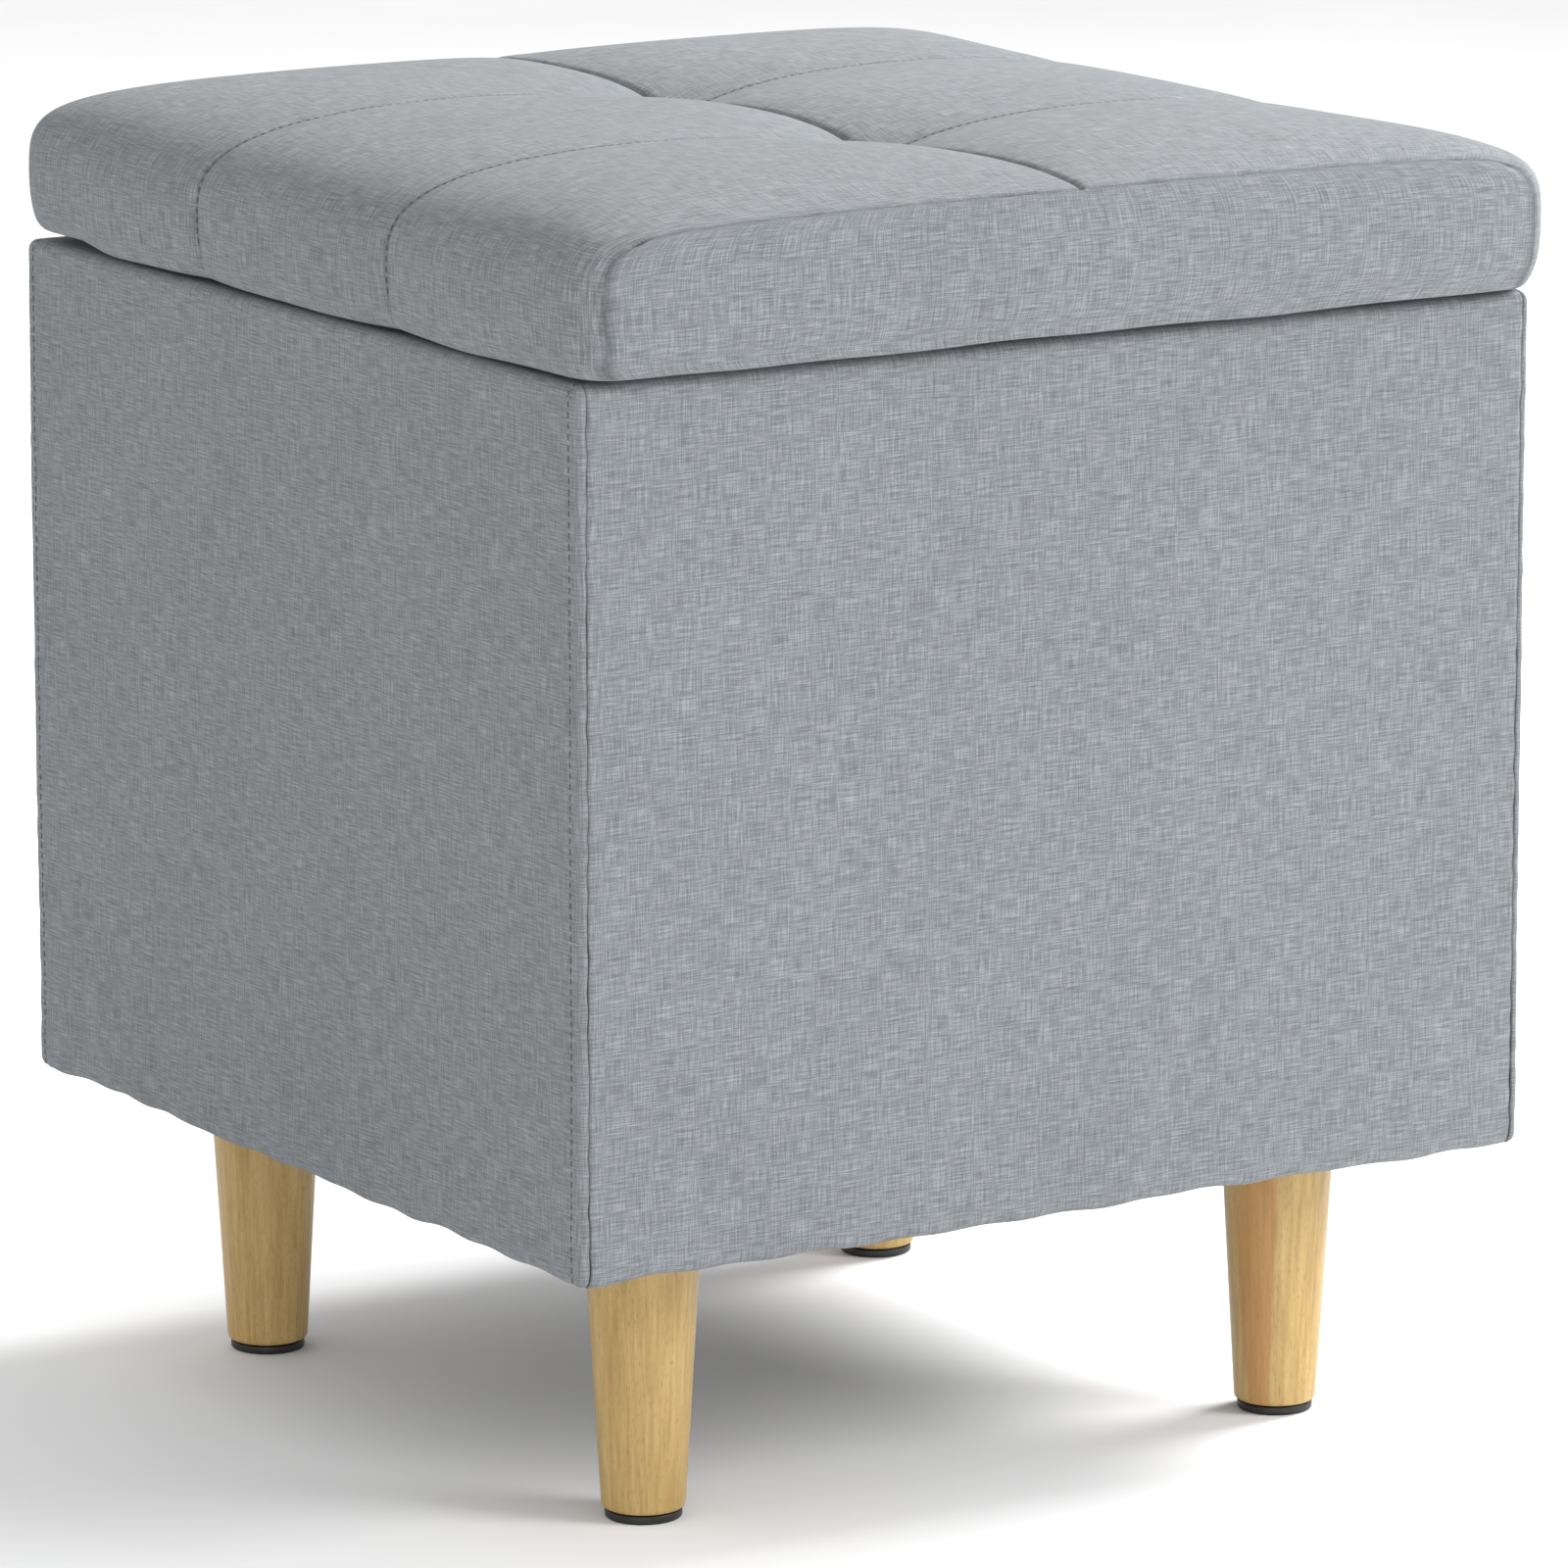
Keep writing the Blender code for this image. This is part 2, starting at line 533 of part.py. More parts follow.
def build_lid():
    inner = LID_HALF_WIDTH - LID_BOTTOM_RADIUS - LID_TURN_IN
    cloth_top = LID_BOTTOM + LID_CLOTH
    length = LID_BACK - LID_FRONT

    outer = [(inner, LID_BOTTOM)] + lid_outline(0.0) + [(-inner, LID_BOTTOM)]
    within = [(-inner, cloth_top)] + lid_outline(LID_CLOTH)[::-1] + [(inner, cloth_top)]
    strip_length = length - 2 * (LID_CLOTH + GAP)
    middle = (0, LID_MIDDLE, 0)
    plate("lid_top_cover", [outer + within], strip_length, LID_AXIS, middle, UPRIGHT, "grey_fabric")

    # Each end panel runs down and turns in under the board, between the strip's own turn-ins.
    flap_half = inner - GAP
    end_covers = []
    for name, face, inward in (("lid_front_cover", LID_FRONT, 1), ("lid_back_cover", LID_BACK, -1)):
        centre = (0, face + inward * LID_CLOTH / 2, 0)
        end = plate(name, [lid_outline(0.0)], LID_CLOTH, LID_AXIS, centre, UPRIGHT, "grey_fabric")
        near = face + inward * LID_CLOTH / 2
        far = face + inward * (LID_BOARD_EDGE + LID_TURN_IN)
        flap_low = (-flap_half, min(near, far), LID_BOTTOM)
        flap_high = (flap_half, max(near, far), cloth_top)
        combine(end, box_between(name + "_turn_in", flap_low, flap_high, LID_AXIS), "UNION")
        end_covers.append(end)

    board_x = LID_HALF_WIDTH - LID_BOARD_EDGE - GAP
    board_low = (-board_x, LID_FRONT + LID_BOARD_EDGE, LID_BOARD_BOTTOM)
    board_high = (board_x, LID_BACK - LID_BOARD_EDGE, LID_BOARD_TOP)
    board = box_between("lid_board", board_low, board_high, LID_AXIS, "fibreboard")

    foam_outline = lid_outline(LID_CLOTH + GAP, LID_BOARD_TOP + GAP)
    foam_length = length - 2 * (LID_CLOTH + GAP)
    foam = plate("lid_foam", [foam_outline], foam_length, LID_AXIS, middle, UPRIGHT, "foam")

    inside = LID_TURN_IN + LID_BOARD_EDGE + GAP
    lining_low = (-inner + GAP, LID_FRONT + inside, cloth_top - LID_LINING_THICKNESS)
    lining_high = (inner - GAP, LID_BACK - inside, cloth_top)
    lining = box_between("lid_lining", lining_low, lining_high, LID_AXIS, "black_nonwoven")

    for name, y in zip(("front", "back"), TUFT_PLACES):
        top = LID_TOP - TUFT_DEPTH
        place = (0, y, 0)
        profile = [(0, top), (TWINE_RADIUS, top), (TWINE_RADIUS, LID_BOARD_BOTTOM), (0, LID_BOARD_BOTTOM)]
        turned("tuft_twine_" + name, profile, TWINE_STEPS, LID_AXIS, place, (0, 0, 0), "twine")
        low = LID_BOARD_BOTTOM - GAP / 2
        wide = TWINE_RADIUS + GAP
        hole_profile = [(0, LID_TOP), (wide, LID_TOP), (wide, low), (0, low)]
        hole = turned("twine_hole_" + name, hole_profile, TWINE_STEPS, LID_AXIS, place)
        combine(board, hole, "DIFFERENCE")
        combine(foam, hole, "DIFFERENCE")
    return end_covers[1], board, lining


# ---- The hinges ---------------------------------------------------------------------------------

def knuckle_spans():
    """(start, end) along the pin of the middle knuckle, and of the two outer ones."""
    middle = HINGE_MIDDLE_KNUCKLE / 2
    outer = middle + HINGE_KNUCKLE_SPACE
    end = HINGE_LENGTH / 2
    return [(-middle, middle)], [(-end, -outer), (outer, end)]


def leaf_outline(spans):
    """A leaf seen from above, with its pin along X at Y = 0, and tabs that reach its own knuckles."""
    half = HINGE_LENGTH / 2
    root = -HINGE_KNUCKLE_RADIUS - HINGE_KNUCKLE_SPACE
    reach = -(HINGE_BORE_RADIUS + HINGE_KNUCKLE_RADIUS) / 2
    points = [(half, -HINGE_LEAF_WIDTH), (half, root)]
    for start, end in reversed(spans):
        points += [(end, root), (end, reach), (start, reach), (start, root)]
    points += [(-half, root), (-half, -HINGE_LEAF_WIDTH)]
    tidy = [point for i, point in enumerate(points) if point != points[i - 1]]
    return tidy


def build_leaf(name, x, spans, side, parent, pierced):
    """side is -1 for the leaf on the box and 1 for the one under the lid."""
    z = HINGE_AXIS_Z + side * (HINGE_LEAF_SPACE + HINGE_LEAF_THICKNESS) / 2
    outline = leaf_outline(spans)
    middle = (x, HINGE_AXIS_Y, z)
    leaf = plate(name, [outline], HINGE_LEAF_THICKNESS, parent, middle, (0, 0, 0), "zinc_steel")
    for number, (start, end) in enumerate(spans):
        profile = [
            (HINGE_BORE_RADIUS, end),
            (HINGE_KNUCKLE_RADIUS, end),
            (HINGE_KNUCKLE_RADIUS, start),
            (HINGE_BORE_RADIUS, start),
        ]
        where = (x, HINGE_AXIS_Y, HINGE_AXIS_Z)
        knuckle = turned(f"{name}_knuckle_{number}", profile, PIN_STEPS, parent, where, ALONG_X, ring=True)
        combine(leaf, knuckle, "UNION")
    face = HINGE_AXIS_Z + side * HINGE_LEAF_SPACE / 2
    turn = (0, 0, 0) if side < 0 else DOWN
    for place, offset in (("left", -1), ("right", 1)):
        at = (x + offset * HINGE_SCREW_SPACING / 2, HALF_DEPTH - WALL_MIDDLE, face)
        screw(f"{name}_screw_{place}", parent, at, turn, [leaf] + pierced)


def build_hinges(back_panel, back_cover, lid_board, lid_back_cover):
    middle, outers = knuckle_spans()
    for name, side in (("left_hinge", -1), ("right_hinge", 1)):
        x = side * HINGE_SPACING / 2
        build_leaf(name + "_box_leaf", x, outers, -1, FRAME, [back_cover, back_panel])
        build_leaf(name + "_lid_leaf", x, middle, 1, LID_AXIS, [lid_back_cover, lid_board])
        half = HINGE_LENGTH / 2
        where = (x, HINGE_AXIS_Y, HINGE_AXIS_Z)
        rod(name + "_pin", HINGE_PIN_RADIUS, -half, half, FRAME, where, ALONG_X, "zinc_steel")


# ---- The lid stay -------------------------------------------------------------------------------

def stay_elbow():
    """(y, z) of the elbow with the lid closed: in front of and below the line between the pivots."""
    lower = Vector(STAY_LOWER)
    upper = Vector(STAY_UPPER)
    span = (upper - lower).length
    along = (STAY_LOWER_LENGTH ** 2 - STAY_UPPER_LENGTH ** 2 + span ** 2) / (2 * span)
    away = math.sqrt(STAY_LOWER_LENGTH ** 2 - along ** 2)
    direction = (upper - lower) / span
    return lower + along * direction + away * Vector((-direction.y, direction.x))


def arm_outline(length):
    """A bar with round ends about its two pivots, the first at the origin and the second along +X."""
    half = STAY_ARM_HALF_WIDTH
    return arc((0, 0), half, 90, 270, ROUND_END_STEPS) + arc((length, 0), half, -90, 90, ROUND_END_STEPS)


def build_arm(name, parent, x, pivot, length, elbow_hole):
    start = Vector((pivot[0], pivot[1]))
    direction = stay_elbow() - start
    angle = math.atan2(direction.y, direction.x)
    last = 360 / PIN_STEPS
    pivot_hole = arc((0, 0), STAY_PIVOT_RADIUS + GAP, 360, last, PIN_STEPS - 1)
    far_hole = arc((length, 0), elbow_hole, 360, last, PIN_STEPS - 1)
    outlines = [arm_outline(length), pivot_hole, far_hole]
    arm = plate(name, outlines, STAY_THICKNESS, parent, (x, *pivot), (0, 0, 0), "zinc_steel")
    # The outline's X goes to Y and its Y to Z, then it swings about X to point at the elbow.
    turn = Matrix.Rotation(angle, 3, "X") @ Matrix(((0, 0, 1), (1, 0, 0), (0, 1, 0)))
    arm.rotation_euler = turn.to_euler()
    return arm


def pivot_stud(name, parent, point, turn, reach):
    """A stud that starts in the middle of a plate and ends in a head past an arm, along its own +Z."""
    head_low = reach - STAY_PIVOT_HEAD
    profile = [
        (0, reach),
        (STAY_PIVOT_HEAD_RADIUS, reach),
        (STAY_PIVOT_HEAD_RADIUS, head_low),
        (STAY_PIVOT_RADIUS, head_low),
        (STAY_PIVOT_RADIUS, 0),
        (0, 0),
    ]
    return turned(name, profile, PIN_STEPS, parent, point, turn)


def build_stay(right_panel, lining, lid_board, lid_lining, lid_top_cover):
    lower = STAY_LOWER
    upper = STAY_UPPER
    stud_reach = STAY_PITCH + STAY_THICKNESS / 2 + GAP + STAY_PIVOT_HEAD
    half = STAY_BRACKET_LENGTH / 2

    round_end = STAY_ARM_HALF_WIDTH
    straight = half - round_end
    outline = arc((0, straight), round_end, 0, 180, ROUND_END_STEPS)
    outline += arc((0, -straight), round_end, 180, 360, ROUND_END_STEPS)
    stand = Matrix(((0, 0, 1), (1, 0, 0), (0, 1, 0))).to_euler()
    where = (STAY_PLATE_X, *lower)
    wall_bracket = plate("stay_wall_bracket", [outline], STAY_THICKNESS, FRAME, where, stand, "zinc_steel")
    combine(wall_bracket, pivot_stud("stay_wall_stud", FRAME, where, AGAINST_X, stud_reach), "UNION")
    for place, side in (("upper", 1), ("lower", -1)):
        head_x = STAY_PLATE_X - STAY_THICKNESS / 2
        at = (head_x, lower[0], lower[1] + side * STAY_SCREW_SPACING / 2)
        # A screw's profile points down its own -Z, so its head faces along -X here.
        screw("stay_wall_screw_" + place, FRAME, at, AGAINST_X, [wall_bracket, lining, right_panel])

    tab_out = STAY_TAB_X + STAY_THICKNESS / 2
    tab_in = STAY_TAB_X - STAY_THICKNESS / 2
    flange_top = LID_BOTTOM - GAP
    flange_low = flange_top - STAY_THICKNESS
    flange_in = tab_out - STAY_FLANGE_WIDTH
    tab_low = upper[1] - STAY_ARM_HALF_WIDTH
    angle_section = [
        (tab_out, tab_low),
        (tab_out, flange_top),
        (flange_in, flange_top),
        (flange_in, flange_low),
        (tab_in, flange_low),
        (tab_in, tab_low),
    ]
    bracket_at = (0, upper[0], 0)
    lid_bracket = plate(
        "stay_lid_bracket", [angle_section], STAY_BRACKET_LENGTH, LID_AXIS, bracket_at, UPRIGHT, "zinc_steel"
    )
    stud_at = (STAY_TAB_X, *upper)
    combine(lid_bracket, pivot_stud("stay_lid_stud", LID_AXIS, stud_at, ALONG_X, stud_reach), "UNION")
    for place, side in (("front", -1), ("back", 1)):
        at = ((flange_in + tab_in) / 2, upper[0] + side * STAY_SCREW_SPACING / 2, flange_low)
        pierced = [lid_bracket, lid_board, lid_lining, lid_top_cover]
        screw("stay_lid_screw_" + place, LID_AXIS, at, DOWN, pierced)

    rivet_hole = STAY_PIVOT_RADIUS + GAP
    build_arm("stay_lower_arm", STAY_LOWER_AXIS, STAY_LOWER_X, lower, STAY_LOWER_LENGTH, rivet_hole)
    loose_hole = rivet_hole + STAY_ELBOW_PLAY
    build_arm("stay_upper_arm", STAY_UPPER_AXIS, STAY_UPPER_X, upper, STAY_UPPER_LENGTH, loose_hole)

    elbow = stay_elbow()
    reach = STAY_PITCH / 2 + STAY_THICKNESS / 2 + GAP
    end = reach + STAY_PIVOT_HEAD
    head = STAY_PIVOT_HEAD_RADIUS
    shank = STAY_PIVOT_RADIUS
    profile = [(0, end), (head, end), (head, reach), (shank, reach)]
    profile += [(radius, -height) for radius, height in reversed(profile)]
    where = ((STAY_LOWER_X + STAY_UPPER_X) / 2, *elbow)
    turned("stay_elbow_rivet", profile, PIN_STEPS, STAY_LOWER_AXIS, where, ALONG_X, "zinc_steel")


def build_bumpers():
    height = LID_BOTTOM - RIM - 2 * GAP
    edge = BUMPER_RADIUS / 4
    profile = [
        (0, height),
        (BUMPER_RADIUS - edge, height),
        (BUMPER_RADIUS, height - edge),
        (BUMPER_RADIUS, 0),
        (0, 0),
    ]
    for name, side in (("left", -1), ("right", 1)):
        at = (side * (HALF_WIDTH - BUMPER_INSET), -HALF_DEPTH + WALL_MIDDLE, RIM + GAP)
        turned("lid_bumper_" + name, profile, SMALL_STEPS, FRAME, at, (0, 0, 0), "rubber")


# ---- Build --------------------------------------------------------------------------------------

back_cover_piece = build_covers()
right_panel_piece, back_panel_piece = build_walls()
lining_piece = build_lining()
build_bottom()
lid_back_cover_piece, lid_board_piece, lid_lining_piece = build_lid()
build_hinges(back_panel_piece, back_cover_piece, lid_board_piece, lid_back_cover_piece)
lid_top_piece = bpy.data.objects["lid_top_cover"]
build_stay(right_panel_piece, lining_piece, lid_board_piece, lid_lining_piece, lid_top_piece)
build_bumpers()
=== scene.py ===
# %% [markdown]
# # A storage ottoman
#
# This lesson dresses a finished frame: a square box on four turned legs, with a lid that hinges up
# at the back. The frame already holds every board, bolt and hinge at its true size, so each step
# here makes a surface that the frame can't: sewn cloth, a stuffed and tufted lid, turned wood.
#
# All places are in metres, +Z is up and -Y is the front.

# %% Load the frame
import json
import math

import bmesh
import bpy
import numpy as np
from mathutils import Matrix, Vector, noise


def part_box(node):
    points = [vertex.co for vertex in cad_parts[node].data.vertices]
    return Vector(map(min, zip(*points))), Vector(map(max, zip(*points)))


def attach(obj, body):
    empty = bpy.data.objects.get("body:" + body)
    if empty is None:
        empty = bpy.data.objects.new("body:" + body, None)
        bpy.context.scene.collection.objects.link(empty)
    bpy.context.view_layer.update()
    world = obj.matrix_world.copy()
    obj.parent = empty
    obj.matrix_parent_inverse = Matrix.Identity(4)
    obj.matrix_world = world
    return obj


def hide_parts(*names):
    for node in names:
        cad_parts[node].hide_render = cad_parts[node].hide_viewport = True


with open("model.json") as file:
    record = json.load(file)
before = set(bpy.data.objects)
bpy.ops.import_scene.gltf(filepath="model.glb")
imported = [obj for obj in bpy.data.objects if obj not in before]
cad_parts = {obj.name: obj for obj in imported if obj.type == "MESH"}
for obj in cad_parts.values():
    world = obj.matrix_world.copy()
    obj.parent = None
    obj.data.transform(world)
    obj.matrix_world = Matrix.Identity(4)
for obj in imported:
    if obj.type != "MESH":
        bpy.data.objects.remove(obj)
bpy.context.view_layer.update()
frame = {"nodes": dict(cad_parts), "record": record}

# %% [markdown]
# ## Sizes that the pieces share
#
# Every place is read from the frame, so the looks follow it when it changes. The box's outer faces
# come from its four covers, and the lid's from its own.

# %% Read the main sizes
MM = 0.001
front_low, front_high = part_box("front_cover")
back_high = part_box("back_cover")[1]
HEM = front_low.z
RIM = front_high.z
HALF_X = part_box("right_cover")[1].x
MIDDLE_Y = (front_low.y + back_high.y) / 2
HALF_Y = (back_high.y - front_low.y) / 2
HEM_TURN_IN = front_high.y - front_low.y
WALL_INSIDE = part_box("left_panel")[1].x + HALF_X

lid_low, lid_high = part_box("lid_top_cover")
LID_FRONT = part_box("lid_front_cover")[0].y
LID_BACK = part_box("lid_back_cover")[1].y
LID_HALF_X = lid_high.x
LID_BOTTOM = lid_low.z
LID_TOP = lid_high.z
print("box", round(2 * HALF_X, 4), "x", round(2 * HALF_Y, 4), "from", HEM, "to", RIM)
print("lid", round(LID_FRONT, 4), round(LID_BACK, 4), LID_BOTTOM, LID_TOP)

# %% [markdown]
# ## The camera
#
# The view is a little from above and from the left front corner, with a long lens, so that the
# upright edges stay nearly parallel. A camera is aimed by turning it about X from looking straight
# down, and then about Z.

# %% Place the camera
CAMERA_PLACE = Vector((-1.779, -2.8406, 0.9133))
CAMERA_AZIMUTH = math.radians(-32.15)
CAMERA_PITCH = math.radians(11.76)
LENS_MM = 223.7

camera_data = bpy.data.cameras.new("camera")
camera_data.lens = LENS_MM
camera_data.sensor_width = 36.0
camera_data.clip_end = 50.0
camera = bpy.data.objects.new("camera", camera_data)
camera.location = CAMERA_PLACE
camera.rotation_euler = (math.pi / 2 - CAMERA_PITCH, 0.0, CAMERA_AZIMUTH)
bpy.context.scene.collection.objects.link(camera)
bpy.context.scene.camera = camera
print("camera lens", LENS_MM, "mm")

# %% [markdown]
# ## Colours and nodes
#
# Colours are chosen as sRGB hex values, as a paint chart gives them, and the shader wants linear
# light, so one function turns them. A second small function adds a node with its settings and
# links, which keeps each material short enough to read from top to bottom.

# %% Helpers for materials


def linear(hex_colour, alpha=1.0):
    """An sRGB hex colour as linear RGBA."""
    channels = []
    for i in (0, 2, 4):
        c = int(hex_colour[i:i + 2], 16) / 255
        channels.append(c / 12.92 if c <= 0.04045 else ((c + 0.055) / 1.055) ** 2.4)
    return (*channels, alpha)


def new_material(name):
    material = bpy.data.materials.new(name)
    material.use_nodes = True
    tree = material.node_tree
    return material, tree, tree.nodes["Principled BSDF"]


def add(tree, kind, settings=None, **links):
    """Adds a node. A link's value is a socket to connect, or a value to set."""
    node = tree.nodes.new(kind)
    for key, value in (settings or {}).items():
        setattr(node, key, value)
    for key, value in links.items():
        socket = node.inputs[int(key[1:])] if key[0] == "i" and key[1:].isdigit() else node.inputs[key]
        if isinstance(value, bpy.types.NodeSocket):
            tree.links.new(value, socket)
        else:
            socket.default_value = value
    return node


def ramp(tree, factor, stops):
    """A colour ramp whose stops are (position, linear colour)."""
    node = add(tree, "ShaderNodeValToRGB", i0=factor)
    elements = node.color_ramp.elements
    for i, (position, colour) in enumerate(stops):
        element = elements[i] if i < 2 else elements.new(position)
        element.position = position
        element.color = colour
    return node.outputs["Color"]


def math_node(tree, operation, first, second=0.0):
    return add(tree, "ShaderNodeMath", {"operation": operation}, i0=first, i1=second).outputs[0]


# %% [markdown]
# ## Grey linen-look cloth
#
# The cover is a plain weave of melange polyester. Its threads swell and thin, so light and dark
# slubs run both ways, each as thin as a thread and many millimetres long. Two pairs of stretched
# noises draw them, a short and a long one along each thread direction. A product of two sines gives
# the over-and-under relief.
# The pattern follows the cloth's own UV map, which is in metres, so it turns the corners with it.

# %% Make the cloth
# The real threads are about 0.35 mm apart, which is too fine to show, so they are drawn at 0.45 mm.
THREAD_PITCH = 0.45 * MM
SLUB_LENGTH = 9 * MM
LONG_SLUB = 22 * MM
LONG_SLUB_WIDTH = 0.6 * MM
FIBRE_GRAIN = 0.4 * MM
SHADE_SIZE = 60 * MM


def stretched_noise(tree, uv, along_u, along_v, detail, shift):
    """Noise whose grains are along_u by along_v metres large."""
    mapping = add(tree, "ShaderNodeMapping", Vector=uv, Location=(shift, shift, shift),
                  Scale=(1 / along_u, 1 / along_v, 1.0))
    grain = add(tree, "ShaderNodeTexNoise", {"noise_dimensions": "2D"}, Vector=mapping.outputs[0],
                Scale=1.0, Detail=detail, Roughness=0.6)
    return grain.outputs["Fac"]


def weighted_sum(tree, parts):
    """Adds up (socket, weight) pairs."""
    total = None
    for socket, weight in parts:
        scaled = math_node(tree, "MULTIPLY", socket, weight)
        total = scaled if total is None else math_node(tree, "ADD", total, scaled)
    return total


def linen_cloth(name, dark, middle, light):
    material, tree, shader = new_material(name)
    uv = add(tree, "ShaderNodeUVMap", {"uv_map": "cloth"}).outputs[0]
    across = stretched_noise(tree, uv, SLUB_LENGTH, THREAD_PITCH, 1.0, 3.1)
    down = stretched_noise(tree, uv, THREAD_PITCH, SLUB_LENGTH, 1.0, 7.7)
    long_across = stretched_noise(tree, uv, LONG_SLUB, LONG_SLUB_WIDTH, 0.0, 13.4)
    long_down = stretched_noise(tree, uv, LONG_SLUB_WIDTH, LONG_SLUB, 0.0, 21.9)
    fibres = stretched_noise(tree, uv, FIBRE_GRAIN, FIBRE_GRAIN, 1.0, 31.0)
    shade = stretched_noise(tree, uv, SHADE_SIZE, SHADE_SIZE, 1.0, 1.3)
    tone = weighted_sum(tree, [(across, 0.31), (down, 0.26), (long_across, 0.08), (long_down, 0.08),
                               (fibres, 0.24), (shade, 0.03)])
    colour = ramp(tree, tone, [(0.37, linear(dark)), (0.63, linear(light)), (0.5, linear(middle))])
    # The seam attribute paints shade into the colour: where a seam's groove would be shaded, the cloth is
    # mixed towards a dark grey, as a painted seam shadow.
    seam = add(tree, "ShaderNodeAttribute", {"attribute_name": "seam"}).outputs["Fac"]
    painted_shadow = add(tree, "ShaderNodeMix", {"data_type": "RGBA"}, i0=seam, i6=colour, i7=linear("3E4245"))

    split = add(tree, "ShaderNodeSeparateXYZ", Vector=uv)
    turns = 2 * math.pi / THREAD_PITCH
    warp = math_node(tree, "SINE", math_node(tree, "MULTIPLY", split.outputs[0], turns))
    weft = math_node(tree, "SINE", math_node(tree, "MULTIPLY", split.outputs[1], turns))
    weave = math_node(tree, "MULTIPLY", warp, weft)
    relief = weighted_sum(tree, [(weave, 0.3), (tone, 1.6)])
    bump = add(tree, "ShaderNodeBump", Height=relief, Strength=0.3, Distance=0.0005)
    tree.links.new(painted_shadow.outputs[2], shader.inputs["Base Color"])
    tree.links.new(bump.outputs[0], shader.inputs["Normal"])
    shader.inputs["Roughness"].default_value = 0.9
    shader.inputs["Sheen Weight"].default_value = 0.08
    shader.inputs["Sheen Roughness"].default_value = 0.5
    shader.inputs["Specular IOR Level"].default_value = 0.2
    return material


LINEN = linen_cloth("linen_look_polyester", "606467", "777B7E", "92969A")
print("cloth", LINEN.name)

# %% [markdown]
# ## Turned rubberwood
#
# The legs are rubberwood: pale, yellowish, with fine upright grain, short darker pores and, here and
# there, a reddish streak. A satin lacquer gives it a soft gloss. The pattern reads the leg's own
# place, so no two legs are alike.

# %% Make the wood
GRAIN_WIDTH = 1.6 * MM
GRAIN_LENGTH = 55 * MM
PORE_WIDTH = 0.35 * MM
PORE_LENGTH = 3.5 * MM
BAND_WIDTH = 9 * MM
BAND_LENGTH = 160 * MM
STREAK_WIDTH = 14 * MM
STREAK_LENGTH = 300 * MM


def stretched_solid_noise(tree, place, width, length, detail, shift):
    mapping = add(tree, "ShaderNodeMapping", Vector=place, Location=(shift, shift, shift),
                  Scale=(1 / width, 1 / width, 1 / length))
    grain = add(tree, "ShaderNodeTexNoise", Vector=mapping.outputs[0], Scale=1.0, Detail=detail,
                Roughness=0.55, Distortion=0.3)
    return grain.outputs["Fac"]


def turned_wood(name):
    material, tree, shader = new_material(name)
    place = add(tree, "ShaderNodeTexCoord").outputs["Object"]
    grain = stretched_solid_noise(tree, place, GRAIN_WIDTH, GRAIN_LENGTH, 4.0, 2.0)
    band = stretched_solid_noise(tree, place, BAND_WIDTH, BAND_LENGTH, 2.0, 5.0)
    pores = stretched_solid_noise(tree, place, PORE_WIDTH, PORE_LENGTH, 1.0, 9.0)
    mixed = weighted_sum(tree, [(grain, 0.6), (band, 0.4)])
    colour = ramp(tree, mixed, [
        (0.34, linear("9D7F48")),
        (0.66, linear("BEA168")),
        (0.50, linear("B09258")),
    ])
    pore_mask = add(tree, "ShaderNodeMapRange", i0=pores, i1=0.60, i2=0.70, i3=0.0, i4=0.55).outputs[0]
    flecked = add(tree, "ShaderNodeMix", {"data_type": "RGBA"}, i0=pore_mask, i6=colour, i7=linear("8A6A38"))
    red_place = stretched_solid_noise(tree, place, STREAK_WIDTH, STREAK_LENGTH, 0.0, 12.4)
    red_mask = add(tree, "ShaderNodeMapRange", i0=red_place, i1=0.66, i2=0.72, i3=0.0, i4=0.5).outputs[0]
    streaked = add(tree, "ShaderNodeMix", {"data_type": "RGBA"}, i0=red_mask, i6=flecked.outputs[2],
                   i7=linear("A86E3C"))
    tree.links.new(streaked.outputs[2], shader.inputs["Base Color"])
    bump = add(tree, "ShaderNodeBump", Height=grain, Strength=0.12, Distance=0.0003)
    tree.links.new(bump.outputs[0], shader.inputs["Normal"])
    shader.inputs["Roughness"].default_value = 0.5
    shader.inputs["Coat Weight"].default_value = 0.12
    shader.inputs["Coat Roughness"].default_value = 0.25
    return material


RUBBERWOOD = turned_wood("lacquered_rubberwood")
print("wood", RUBBERWOOD.name)

# %% [markdown]
# ## The plain finishes
#
# Nylon, raw fibreboard, foam, zinc plate, rubber and twine each start from the real material's usual
# gloss, with one noise at the size of the thing that the eye sees: a moulding's fine grain, the
# board's fibres, the foam's cells, the zinc's crystals.

# %% Make the plain finishes


def grainy(name, dark, light, grain, roughness, metallic=0.0, bump=0.2, height=0.0002, spread=0.2):
    """A finish whose colour and relief vary with a noise of the given grain, in metres."""
    material, tree, shader = new_material(name)
    place = add(tree, "ShaderNodeTexCoord").outputs["Object"]
    noise_node = add(tree, "ShaderNodeTexNoise", Vector=place, Scale=1 / grain, Detail=4.0, Roughness=0.6)
    cloud = noise_node.outputs["Fac"]
    colour = ramp(tree, cloud, [(0.5 - spread, linear(dark)), (0.5 + spread, linear(light))])
    relief = add(tree, "ShaderNodeBump", Height=cloud, Strength=bump, Distance=height)
    tree.links.new(colour, shader.inputs["Base Color"])
    tree.links.new(relief.outputs[0], shader.inputs["Normal"])
    shader.inputs["Roughness"].default_value = roughness
    shader.inputs["Metallic"].default_value = metallic
    return material


